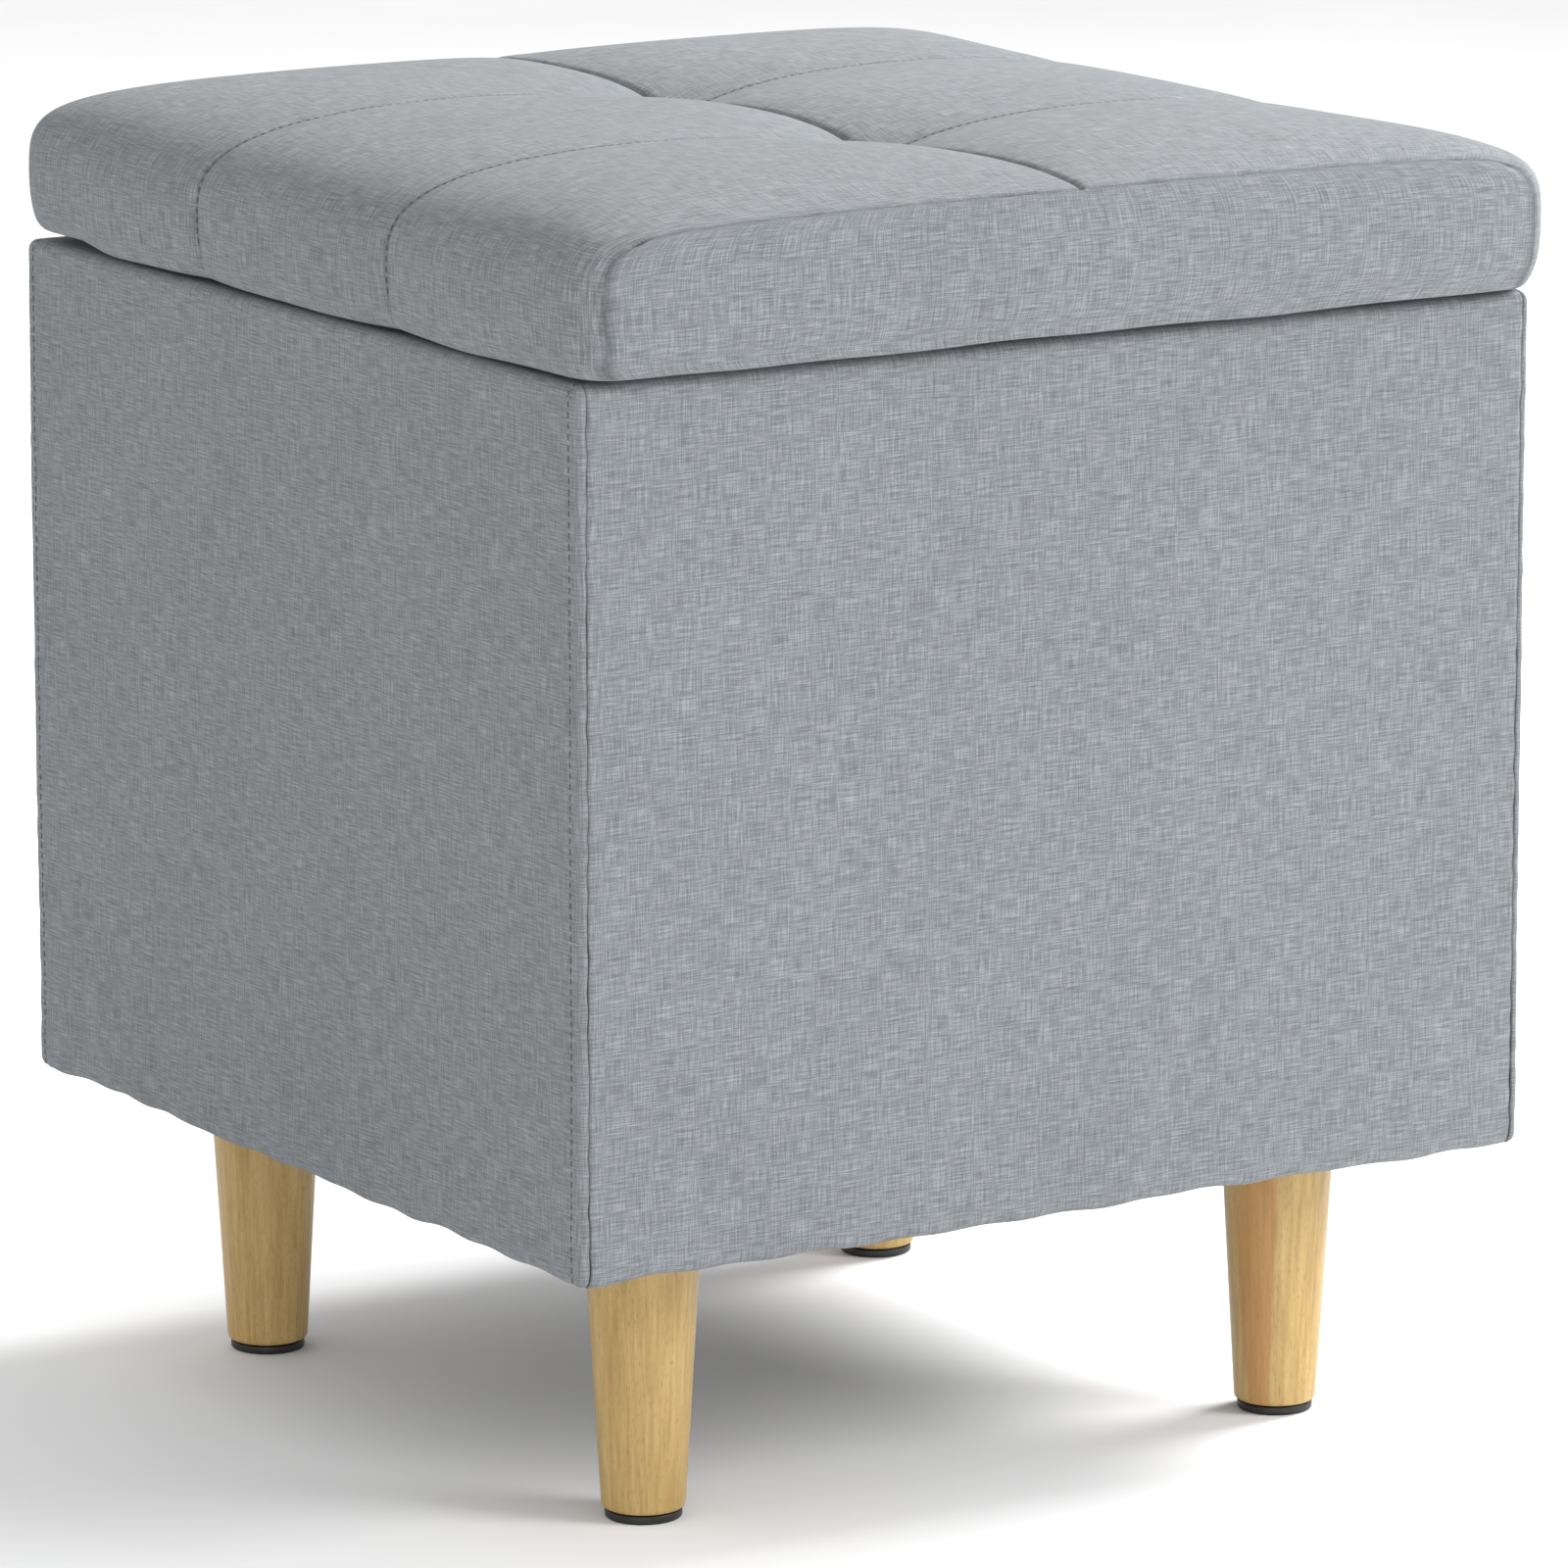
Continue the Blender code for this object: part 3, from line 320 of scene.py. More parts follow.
BLACK_NYLON = grainy("moulded_black_nylon", "0C0C0C", "1A1A1A", 0.6 * MM, 0.45)
FIBREBOARD = grainy("raw_fibreboard", "8A6A48", "B08D65", 1.2 * MM, 0.85)
FOAM = grainy("polyurethane_foam", "D8CDA4", "F1E8C4", 0.9 * MM, 0.95, bump=0.6, height=0.0006)
ZINC = grainy("zinc_plated_steel", "9A9DA1", "C2C5C8", 5 * MM, 0.32, metallic=1.0, bump=0.05)
RUBBER = grainy("black_bumper_rubber", "141414", "202020", 1.0 * MM, 0.7)
TWINE = grainy("waxed_twine", "B8AE98", "DDD5C2", 0.5 * MM, 0.7)
print("plain finishes made")

# %% [markdown]
# ## Black nonwoven
#
# The inside and the underside are lined with spun-bonded nonwoven: black, matt, pressed with a fine
# pattern of small dots that hold the fibres together. A Voronoi texture places the dots.

# %% Make the nonwoven
DOT_PITCH = 1.6 * MM
FIBRE_SIZE = 0.5 * MM


def nonwoven(name):
    material, tree, shader = new_material(name)
    place = add(tree, "ShaderNodeTexCoord").outputs["Object"]
    dots = add(tree, "ShaderNodeTexVoronoi", Vector=place, Scale=1 / DOT_PITCH, Randomness=0.25)
    fibres = add(tree, "ShaderNodeTexNoise", Vector=place, Scale=1 / FIBRE_SIZE, Detail=3.0)
    pressed = add(tree, "ShaderNodeMapRange", i0=dots.outputs["Distance"], i1=0.15, i2=0.35, i3=0.0, i4=1.0)
    tone = weighted_sum(tree, [(pressed.outputs[0], 0.4), (fibres.outputs["Fac"], 0.6)])
    colour = ramp(tree, tone, [(0.2, linear("151516")), (0.9, linear("343436"))])
    relief = add(tree, "ShaderNodeBump", Height=tone, Strength=0.4, Distance=0.0003)
    tree.links.new(colour, shader.inputs["Base Color"])
    tree.links.new(relief.outputs[0], shader.inputs["Normal"])
    shader.inputs["Roughness"].default_value = 0.8
    return material


NONWOVEN = nonwoven("spun_bonded_nonwoven")
print("nonwoven", NONWOVEN.name)

# %% [markdown]
# ## Pieces from a grid of cloth
#
# Cloth starts as a flat grid. `bmesh.ops.create_grid` makes it, and each point then moves to where
# the sewing and the frame pull it. The point's flat place is kept in a UV map in metres, so the
# weave knows where it lies. `stations` spaces the grid's lines, with extra ones beside each seam.

# %% Helpers for cloth


def stations(start, end, spacing, seams=(), beside=(1.2 * MM, 3 * MM)):
    """Evenly spaced places from start to end, with lines on each seam and close beside it."""
    count = max(1, round((end - start) / spacing))
    places = [start + (end - start) * i / count for i in range(count + 1)]
    reach = beside[-1] + spacing / 2
    kept = [p for p in places if all(abs(p - s) > reach for s in seams) or p in (start, end)]
    for seam in seams:
        kept += [seam] + [seam + side * offset for offset in beside for side in (-1, 1)]
    return sorted(p for p in set(kept) if start - 1e-9 <= p <= end + 1e-9)


def cloth_grid(across, along, place, seam=None):
    """A bmesh grid whose point at (a, b) of the two station lists moves to place(a, b).

    seam(a, b) says how far the point lies in a seam's painted shadow, from 0 to 1.
    """
    work = bmesh.new()
    painted_shadow = work.verts.layers.float.new("seam")
    columns, rows = len(across) - 1, len(along) - 1
    bmesh.ops.create_grid(work, x_segments=columns, y_segments=rows, size=1.0, calc_uvs=False)
    layer = work.loops.layers.uv.new("cloth")
    flat = {}
    for vertex in work.verts:
        a = across[round((vertex.co.x + 1) / 2 * columns)]
        b = along[round((vertex.co.y + 1) / 2 * rows)]
        flat[vertex] = (a, b)
        vertex.co = place(a, b)
        vertex[painted_shadow] = seam(a, b) if seam else 0.0
    for face in work.faces:
        face.smooth = True
        for loop in face.loops:
            loop[layer].uv = flat[loop.vert]
    return work


def finish_mesh(work, name, material):
    """Turns a bmesh into a linked object with a material."""
    mesh = bpy.data.meshes.new(name)
    work.to_mesh(mesh)
    work.free()
    piece = bpy.data.objects.new(name, mesh)
    bpy.context.scene.collection.objects.link(piece)
    mesh.materials.append(material)
    return piece


def thicken(piece, thickness, offset=-1.0):
    wall = piece.modifiers.new("thickness", "SOLIDIFY")
    wall.thickness = thickness
    wall.offset = offset
    return piece


def swell(place, size, seed=0.0):
    """Smooth noise from -1 to 1 at a place, with lumps of the given size."""
    return noise.noise(Vector(place) / size + Vector((seed, seed * 1.7, seed * 0.3)))


# %% [markdown]
# ## The box's sewn cover
#
# Four pieces of cloth are sewn into a sleeve. The seams stand on the front and back faces, a few
# millimetres in from each upright corner, because the side pieces wrap round it. Each piece starts
# inside the box, runs over the rim, down the face, and turns in under the base, where it is stapled:
# the pull of the staples leaves the hem a little wavy.
#
# One function follows that path, a second one goes round the corner, and each piece is a grid
# between the two.

# %% Follow the cloth over the rim, down the face and under the base
EDGE_RADIUS = 4 * MM
CORNER_RADIUS = 3.2 * MM
CLOTH = 1.0 * MM
RIM_TURN_IN = 24 * MM
INNER_DEPTH = WALL_INSIDE + 2 * MM
QUARTER = EDGE_RADIUS * math.pi / 2
TOP_RUN = INNER_DEPTH - 2 * EDGE_RADIUS
FACE_RUN = RIM - HEM - 2 * EDGE_RADIUS
FACE_START = RIM_TURN_IN + QUARTER + TOP_RUN + QUARTER
FACE_END = FACE_START + FACE_RUN


def cover_path(p):
    """(depth, height) at a distance p along the cloth, which starts inside the box below the rim."""
    if p < RIM_TURN_IN:
        return INNER_DEPTH, RIM - EDGE_RADIUS - RIM_TURN_IN + p
    p -= RIM_TURN_IN
    if p < QUARTER:
        a = p / EDGE_RADIUS
        return INNER_DEPTH - EDGE_RADIUS * (1 - math.cos(a)), RIM - EDGE_RADIUS * (1 - math.sin(a))
    p -= QUARTER
    if p < TOP_RUN:
        return INNER_DEPTH - EDGE_RADIUS - p, RIM
    p -= TOP_RUN
    if p < QUARTER:
        a = p / EDGE_RADIUS
        return EDGE_RADIUS * (1 - math.sin(a)), RIM - EDGE_RADIUS * (1 - math.cos(a))
    p -= QUARTER
    if p < FACE_RUN:
        return 0.0, RIM - EDGE_RADIUS - p
    p -= FACE_RUN
    if p < QUARTER:
        a = p / EDGE_RADIUS
        return EDGE_RADIUS * (1 - math.cos(a)), HEM + EDGE_RADIUS * (1 - math.sin(a))
    return EDGE_RADIUS + p - QUARTER, HEM


PATH_END = FACE_END + QUARTER + HEM_TURN_IN - EDGE_RADIUS
print("cloth from end to end over the edge:", round(PATH_END, 3), "m")


# %% Go round the upright corners


def round_corner(s, depth, half_along, half_out):
    """(along, out) at a distance s from a side's middle, going round its upright corners.

    Deeper in, the corner gets tighter and the whole ring smaller, which is how the turned-in cloth
    is folded at a corner.
    """
    radius = max(CORNER_RADIUS - depth, 0.3 * MM)
    centre_along = half_along - depth - radius
    centre_out = half_out - depth - radius
    straight = half_along - CORNER_RADIUS
    side = 1 if s >= 0 else -1
    s = abs(s)
    if s <= straight:
        return side * s * centre_along / straight, half_out - depth
    angle = min((s - straight) / CORNER_RADIUS, math.pi / 2)
    beyond = s - straight - CORNER_RADIUS * angle
    along = centre_along + radius * math.sin(angle)
    return side * along, centre_out + radius * math.cos(angle) - beyond


# %% Pull the hem, the faces and the seams
SEAM_DIP = 0.6 * MM
SEAM_WIDTH = 0.8 * MM
SEAM_WANDER = 0.6 * MM
PUCKER = 0.3 * MM
PUCKER_REACH = 9 * MM
STAPLE_PITCH = 32 * MM
HEM_REACH = 9 * MM
HEM_SCALLOP = 0.7 * MM
HEM_WAVE = 1.0 * MM
FOLDS_FROM = FACE_START + 0.82 * (FACE_END - FACE_START)
FOLDS_FADE = 16 * MM
FOLD_DEPTH = 1.5 * MM
FOLD_SIZE = 22 * MM
BROAD_WAVE = 0.35 * MM
LOOSEST = 1.0 * MM


def cover_pull(s, p, end, seed):
    """(inwards, upwards) movement of the cloth at s along a side and p down its path."""
    hem = math.exp(-((p - FACE_END - QUARTER) / HEM_REACH) ** 2)
    staple = s + 5 * MM * swell((s, seed, 0), 60 * MM)
    scallop = 0.5 - 0.5 * math.cos(2 * math.pi * staple / STAPLE_PITCH)
    lift = (HEM_SCALLOP * scallop + HEM_WAVE * swell((s, seed, 1), 38 * MM)) * hem
    low = 1 / (1 + math.exp(-(p - FOLDS_FROM) / FOLDS_FADE))
    folds = FOLD_DEPTH * swell((s, p * 0.22, seed), FOLD_SIZE) * low
    broad = BROAD_WAVE * swell((s, p, seed), 70 * MM)
    to_seam = end - abs(s)
    dip = SEAM_DIP * math.exp(-(to_seam / SEAM_WIDTH) ** 2)
    pucker = PUCKER * swell((p, s * 0.3, seed), 6 * MM) * math.exp(-(to_seam / PUCKER_REACH) ** 2)
    return folds + broad + dip + pucker, -lift


FACING = {"front": (1, 0, 0, -1), "back": (-1, 0, 0, 1), "right": (0, 1, 1, 0), "left": (0, -1, -1, 0)}
SEEDS = {"front": 1.0, "back": 4.0, "left": 7.0, "right": 10.0}


def side_sizes(side):
    """(half along, half out, half the piece's cut width)"""
    half_along, half_out = (HALF_X, HALF_Y) if side in ("front", "back") else (HALF_Y, HALF_X)
    straight = half_along - CORNER_RADIUS
    if side in ("front", "back"):
        return half_along, half_out, straight - 0.2 * MM
    return half_along, half_out, straight + CORNER_RADIUS * math.pi / 2 + 0.2 * MM


def on_side(side, s, p, proud=0.0):
    """The place of a point s along a side's piece and p down its path."""
    along_x, along_y, out_x, out_y = FACING[side]
    half_along, half_out, end = side_sizes(side)
    inwards, upwards = cover_pull(s, p, end, SEEDS[side])
    depth, height = cover_path(p)
    along, out = round_corner(s, depth + max(inwards, -LOOSEST), half_along, half_out)
    out += proud
    x, y = along * along_x + out * out_x, along * along_y + out * out_y
    # The two pieces at a corner get the same wander, so their seam stays shut.
    corner_x, corner_y = math.copysign(1.3, x), math.copysign(2.1, y)
    near_seam = math.exp(-((end - abs(s)) / (2 * MM)) ** 2)
    wander = SEAM_WANDER * swell((corner_x, corner_y, p), 6 * MM) * near_seam
    return Vector((x + wander, MIDDLE_Y + y, height + upwards))


# The grid's spacing, with extra lines close to the seams and to the folded edges.
SIDE_SPACING = 4 * MM
ROW_SPACING = 2.4 * MM
NEAR_SEAM = (0.5 * MM, 1.0 * MM, 1.8 * MM, 3 * MM, 4.5 * MM, 6 * MM, 7.5 * MM)
NEAR_EDGE = (1.5 * MM, 3 * MM, 5 * MM)


def box_side(side):
    """One piece of the sleeve, laid on its grid."""
    end = side_sizes(side)[2]
    across = stations(-end, end, SIDE_SPACING)
    for offset in NEAR_SEAM:
        across += [-end + offset, end - offset]
    down = stations(0.0, PATH_END, ROW_SPACING, seams=(FACE_START, FACE_END), beside=NEAR_EDGE)

    # Painted shade: the cloth just beside each upright seam is darkened where the seam's groove would be
    # shaded.
    def seam_shadow(s, p):
        return 0.45 * math.exp(-((end - abs(s)) / (0.5 * MM)) ** 2)

    work = cloth_grid(sorted(set(across)), down, lambda s, p: on_side(side, s, p), seam_shadow)
    piece = finish_mesh(work, "box_cover_" + side, LINEN)
    flip_if_inward(piece)
    thicken(piece, CLOTH)
    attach(piece, "box")
    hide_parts(side + "_cover")
    return piece


def flip_if_inward(piece):
    """Turns an open sheet over if its middle faces towards the inside of the object."""
    centre = Vector((0, MIDDLE_Y, (RIM + HEM) / 2))
    score = sum(f.normal.dot(f.center - centre) * f.area for f in piece.data.polygons)
    if score < 0:
        piece.data.flip_normals()


box_pieces = {}
for side in ("front", "back", "left", "right"):
    box_pieces[side] = box_side(side)
    print(side, "cover has", len(box_pieces[side].data.polygons), "faces")

# %% [markdown]
# ## Stitches
#
# A topstitch is a row of short dashes of thread. Each dash here is a small stretched ball of a few
# dozen faces, laid along a line of points on the cloth, with its long side along the line. The
# thread is a shade darker than the cloth.

# %% A row of stitches along a line
STITCH_PITCH = 3.6 * MM
STITCH = Vector((1.25 * MM, 0.28 * MM, 0.22 * MM))
THREAD = grainy("polyester_sewing_thread", "484C4F", "585C5F", 0.4 * MM, 0.7)


def stitch_row(name, line, outward, body, first=0.0):
    """Lays stitches along a list of points. outward(i) is the cloth's outward direction at point i."""
    work = bmesh.new()
    lengths = np.concatenate([[0], np.cumsum([(b - a).length for a, b in zip(line, line[1:])])])
    at = first + STITCH_PITCH / 2
    while at < lengths[-1]:
        i = min(max(int(np.searchsorted(lengths, at)) - 1, 0), len(line) - 2)
        t = (at - lengths[i]) / max(lengths[i + 1] - lengths[i], 1e-9)
        along = (line[i + 1] - line[i]).normalized()
        out = outward(i)
        out = (out - along * out.dot(along)).normalized()
        turn = Matrix((along, out.cross(along), out)).transposed().to_4x4()
        shape = Matrix.Translation(line[i].lerp(line[i + 1], t)) @ turn @ Matrix.Diagonal((*STITCH, 1.0))
        bmesh.ops.create_uvsphere(work, u_segments=6, v_segments=4, radius=1.0, matrix=shape)
        at += STITCH_PITCH
    for face in work.faces:
        face.smooth = True
    piece = finish_mesh(work, name, THREAD)
    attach(piece, body)


# %% Topstitch beside the upright seams
TOPSTITCH_FROM_CORNER = 5.6 * MM
TOPSTITCH_PROUD = 0.12 * MM
for side in ("left", "right"):
    out_x, out_y = FACING[side][2:]
    for end_name, sign in (("first", -1), ("second", 1)):
        s = sign * (HALF_Y - TOPSTITCH_FROM_CORNER)
        reach = np.arange(FACE_START - QUARTER, FACE_END + QUARTER, 2 * MM)
        line = [on_side(side, s, float(p), TOPSTITCH_PROUD) for p in reach]
        stitch_row("topstitch_" + side + "_" + end_name, line, lambda i: Vector((out_x, out_y, 0)), "box")
print("upright topstitches laid")

# %% [markdown]
# ## The lid's stuffed cover
#
# The lid is foam on a board, inside a cover of three pieces: one goes over the top and down both
# sides, and a strip closes the front and the back. A seam runs along the middle, two stitched lines
# cross it, and where they cross a twine pulls the cover down into the foam.
#
# The cover starts as a loft. For each place along the lid a cross-section says how wide, how high
# and how round it is; the cloth is laid along that line by its length. A cloth simulation with a
# little pressure then lets it swell between its seams, as stuffed cloth does.

# %% The lid's cross-section
SHOULDER = LID_BOTTOM + 20 * MM
CROWN = LID_TOP - 3.0 * MM
SEAM_HEIGHT = LID_TOP - 12.6 * MM
SEAM_FALL = 2.5 * MM
PLAN_RADIUS = 16 * MM
SEAM_TURN = math.radians(13)
FRONT_LINE = LID_FRONT - MIDDLE_Y
BACK_LINE = LID_BACK - MIDDLE_Y
FRONT_SEAM = FRONT_LINE + PLAN_RADIUS * (1 - math.cos(SEAM_TURN)) + 1.0 * MM
BACK_SEAM = BACK_LINE - PLAN_RADIUS * (1 - math.cos(SEAM_TURN)) - 1.0 * MM
TWINES = [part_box("tuft_twine_front"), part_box("tuft_twine_back")]
TUFTS = [(low.y + high.y) / 2 - MIDDLE_Y for low, high in TWINES]
SIDE_PINCH = 2.5 * MM
SECTION_STEPS = 160
BOTTOM_ROUND = 6 * MM
SIDE_LEAN = 1.6 * MM
BACK_FALL = 2 * MM


def past_end(v):
    """0 in the lid's middle and 1 at its front or back seam."""
    return v / FRONT_SEAM if v < 0 else v / BACK_SEAM


def half_width(v):
    """Half the lid's width at a place from front to back, with its plan corners rounded."""
    pinch = sum(math.exp(-abs(v - tuft) / (14 * MM)) for tuft in TUFTS)
    into_corner = max(FRONT_LINE + PLAN_RADIUS - v, v - (BACK_LINE - PLAN_RADIUS), 0.0)
    into_corner = min(into_corner, PLAN_RADIUS * math.cos(SEAM_TURN))
    shrink = PLAN_RADIUS - math.sqrt(PLAN_RADIUS ** 2 - into_corner ** 2)
    return LID_HALF_X - SIDE_PINCH * min(pinch, 1.0) - shrink


def top_height(v):
    end = abs(past_end(v))
    back_fall = BACK_FALL * (max(v, 0) / BACK_SEAM) ** 2
    return CROWN - back_fall - (CROWN - back_fall - SEAM_HEIGHT) * end ** 7.5


section_cache = {}


def half_section(v):
    """The cloth's line from the lid's middle to its bottom edge: lengths, x and z."""
    if v in section_cache:
        return section_cache[v]
    width, top = half_width(v), top_height(v)
    end = abs(past_end(v)) ** 6
    squareness, fullness = 4 + 8 * end, 1 / (3 + 1.4 * end)
    turn = np.linspace(0, math.pi / 2, SECTION_STEPS)
    ratio = np.sin(turn) ** 0.6
    rise = np.clip(1 - ratio ** squareness, 0, 1) ** fullness
    height = top - SHOULDER - SEAM_FALL * end * ratio ** 3
    x, z = list(width * ratio), list(SHOULDER + height * rise)
    low = LID_BOTTOM + BOTTOM_ROUND
    for i in range(1, 12):
        t = i / 12
        x.append(width - SIDE_LEAN * t ** 2)
        z.append(SHOULDER + (low - SHOULDER) * t)
    for i in range(13):
        angle = math.pi / 2 * i / 12
        x.append(width - SIDE_LEAN - BOTTOM_ROUND * (1 - math.cos(angle)))
        z.append(low - BOTTOM_ROUND * math.sin(angle))
    x, z = np.array(x), np.array(z)
    length = np.concatenate([[0], np.cumsum(np.hypot(np.diff(x), np.diff(z)))])
    section_cache[v] = (length, x, z)
    return section_cache[v]


HALF_CLOTH = half_section(0.0)[0][-1]
SHOULDER_CLOTH = 0.76 * HALF_CLOTH
print("cloth from the middle to the lid's edge:", round(HALF_CLOTH, 4), "m")


# %% Valleys at the seams and the tufts
MIDDLE_VALLEY = 6.5 * MM
CROSS_VALLEY = 1.4 * MM
TUFT_PIT = 8.5 * MM


def valley(x, v):
    """How far the cover lies below the crown at a place on the top."""
    open_ends = 1 - abs(past_end(v)) ** 5
    depth = MIDDLE_VALLEY * math.exp(-abs(x) / (20 * MM)) * open_ends
    for tuft in TUFTS:
        depth += CROSS_VALLEY * math.exp(-abs(v - tuft) / (9 * MM))
        away = math.hypot(x / (44 * MM), (v - tuft) / (25 * MM))
        depth += TUFT_PIT * math.exp(-away ** 1.2)
    return depth


EDGE_WAVE = 1.1 * MM
END_TUCK = 3.2 * MM
DROOP = 2.6 * MM


def clear_of_hinges(v):
    """1 over most of the lid, falling to 0 at the back, where the edge rests on the hinges."""
    return min(max((BACK_SEAM - 40 * MM - v) / (20 * MM), 0.0), 1.0)


def on_lid(s, v):
    """The place of the cloth point s from the middle seam, v from front to back."""
    length, x, z = half_section(v)
    at = abs(s) / HALF_CLOTH * length[-1]
    px, pz = float(np.interp(at, length, x)), float(np.interp(at, length, z))
    on_top = min(max((pz - SHOULDER) / (top_height(v) - SHOULDER), 0.0), 1.0)
    pz -= valley(px, v) * on_top ** 1.5
    lower_edge = math.exp(-((pz - LID_BOTTOM) / (12 * MM)) ** 2)
    pz += EDGE_WAVE * swell((s * 0.2, v, 3.0), 45 * MM) * lower_edge * clear_of_hinges(v)
    pz -= DROOP * math.exp(-((pz - LID_BOTTOM) / (9 * MM)) ** 2) * clear_of_hinges(v)
    tuck = END_TUCK * math.exp(-((pz - LID_BOTTOM) / (5 * MM)) ** 2) * abs(past_end(v)) ** 8
    return Vector((math.copysign(px, s), MIDDLE_Y + v - math.copysign(tuck, v), pz))


# %% Lay the three pieces
STRIP_BULGE = 4.0 * MM


def strip_point(end_v, outwards):
    """Gives a function that places the strip's point (s, down), inside its seam."""
    top_left, top_right = on_lid(-SHOULDER_CLOTH, end_v), on_lid(SHOULDER_CLOTH, end_v)
    bottom_left, bottom_right = on_lid(-HALF_CLOTH, end_v), on_lid(HALF_CLOTH, end_v)

    def place(s, down):
        across = (s / SHOULDER_CLOTH + 1) / 2
        side_s = SHOULDER_CLOTH + down
        left, right = on_lid(-side_s, end_v), on_lid(side_s, end_v)
        top = on_lid(s, end_v)
        t = down / (HALF_CLOTH - SHOULDER_CLOTH)
        bottom = bottom_left.lerp(bottom_right, across)
        point = left.lerp(right, across) + top.lerp(bottom, t)
        point -= top_left.lerp(top_right, across).lerp(bottom_left.lerp(bottom_right, across), t)
        from_top = top.z - point.z
        from_side = min((point - left).length, (point - right).length)
        bulge = (1 - math.exp(-from_top / (4 * MM))) * (1 - math.exp(-from_side / (22 * MM)))
        low = math.exp(-((point.z - LID_BOTTOM) / (5 * MM)) ** 2)
        point.y += outwards * STRIP_BULGE * bulge * (1 - 0.6 * low)
        point.z += EDGE_WAVE * swell((s, end_v, 9.0), 50 * MM) * low * bulge * clear_of_hinges(end_v)
        return point

    return place


# These give the painted shade on the lid's cover: the cloth beside the middle seam, the cross seams and the
# end seams is darkened where their grooves would be shaded.
def seam_shade(distance, width, strength):
    return strength * math.exp(-(distance / width) ** 2)


def end_shadow_strength(s):
    """The painted shadow is strong along the top of the end seams and weaker down the corners."""
    return 0.8 if abs(s) < SHOULDER_CLOTH - 4 * MM else 0.55


def top_seam_shadow(s, v):
    to_end = min(v - FRONT_SEAM, BACK_SEAM - v)
    cross = [seam_shade(v - tuft, 0.6 * MM, 0.25) for tuft in TUFTS]
    return max(seam_shade(s, 0.6 * MM, 0.3), seam_shade(to_end, 0.8 * MM, end_shadow_strength(s)), *cross)


def strip_seam_shadow(s, down):
    return max(seam_shade(down, 0.8 * MM, 0.8), seam_shade(SHOULDER_CLOTH - abs(s), 0.8 * MM, 0.55))


LID_SPACING = 4.4 * MM
LID_SIDE_SPACING = 3.6 * MM
BESIDE_SEAM = (0.7 * MM, 1.7 * MM, 3.2 * MM)
BESIDE_END = (0.9 * MM, 2.2 * MM)


def lid_cover():
    """The top piece and the two strips, sewn into one open bmesh."""
    top_lines = stations(-SHOULDER_CLOTH, SHOULDER_CLOTH, LID_SPACING, seams=(0.0,), beside=BESIDE_SEAM)
    side_lines = stations(SHOULDER_CLOTH, HALF_CLOTH, LID_SIDE_SPACING)
    across = sorted([-s for s in side_lines[1:]] + top_lines + side_lines[1:])
    along = stations(FRONT_SEAM, BACK_SEAM, LID_SPACING, seams=TUFTS, beside=BESIDE_SEAM)
    for offset in BESIDE_END:
        along += [FRONT_SEAM + offset, BACK_SEAM - offset]
    work = cloth_grid(across, sorted(along), on_lid, top_seam_shadow)
    pin = work.verts.layers.float.new("pin")
    s_layer = work.verts.layers.float.new("s")
    v_layer = work.verts.layers.float.new("v")
    strip = work.verts.layers.float.new("strip")
    for vertex, (s, v) in flat_places(work).items():
        vertex[s_layer], vertex[v_layer] = s, v
        vertex[pin] = 1.0 if v in (FRONT_SEAM, BACK_SEAM) or s == 0 or near_any(v, TUFTS) else 0.0
    down = sorted([s - SHOULDER_CLOTH for s in side_lines] + [BESIDE_END[0]])
    for end_v, outwards in ((FRONT_SEAM, -1), (BACK_SEAM, 1)):
        piece = cloth_grid(top_lines, down, strip_point(end_v, outwards), strip_seam_shadow)
        mesh = bpy.data.meshes.new("strip")
        piece.to_mesh(mesh)
        piece.free()
        before = set(work.verts)
        work.from_mesh(mesh)
        bpy.data.meshes.remove(mesh)
        for vertex, (s, _) in flat_places(work).items():
            if vertex not in before:
                vertex[strip], vertex[s_layer], vertex[v_layer] = 1.0, s, end_v
                vertex[pin] = 1.0 if vertex.is_boundary else 0.0
    bmesh.ops.remove_doubles(work, verts=work.verts, dist=0.02 * MM)
    bmesh.ops.recalc_face_normals(work, faces=work.faces)
    return work


def near_any(value, places):
    return min(abs(value - place) for place in places) < 1e-6


def flat_places(work):
    layer = work.loops.layers.uv["cloth"]
    return {loop.vert: tuple(loop[layer].uv) for face in work.faces for loop in face.loops}


# %% Turn the edge in under the board
LID_CLOTH = 1.2 * MM
PIN_BAND = 2 * MM
TURN_IN_RINGS = (24 * MM, 12 * MM, 0.6 * MM)


def turn_in(work, low, high):
    """Extrudes the open bottom edge inwards and flat, by clamping it to a rectangle."""
    edges = [edge for edge in work.edges if edge.is_boundary]
    grown = bmesh.ops.extrude_edge_only(work, edges=edges)["geom"]
    points = [item for item in grown if isinstance(item, bmesh.types.BMVert)]
    for point in points:
        for axis in (0, 1):
            point.co[axis] = min(max(point.co[axis], low[axis]), high[axis])
        point.co.z = LID_BOTTOM
    # This cloth lies flat, so its own place serves as its place on the cloth.
    layer = work.loops.layers.uv["cloth"]
    for face in {face for point in points for face in point.link_faces}:
        for loop in face.loops:
            loop[layer].uv = loop.vert.co.xy
    bmesh.ops.remove_doubles(work, verts=points, dist=0.02 * MM)


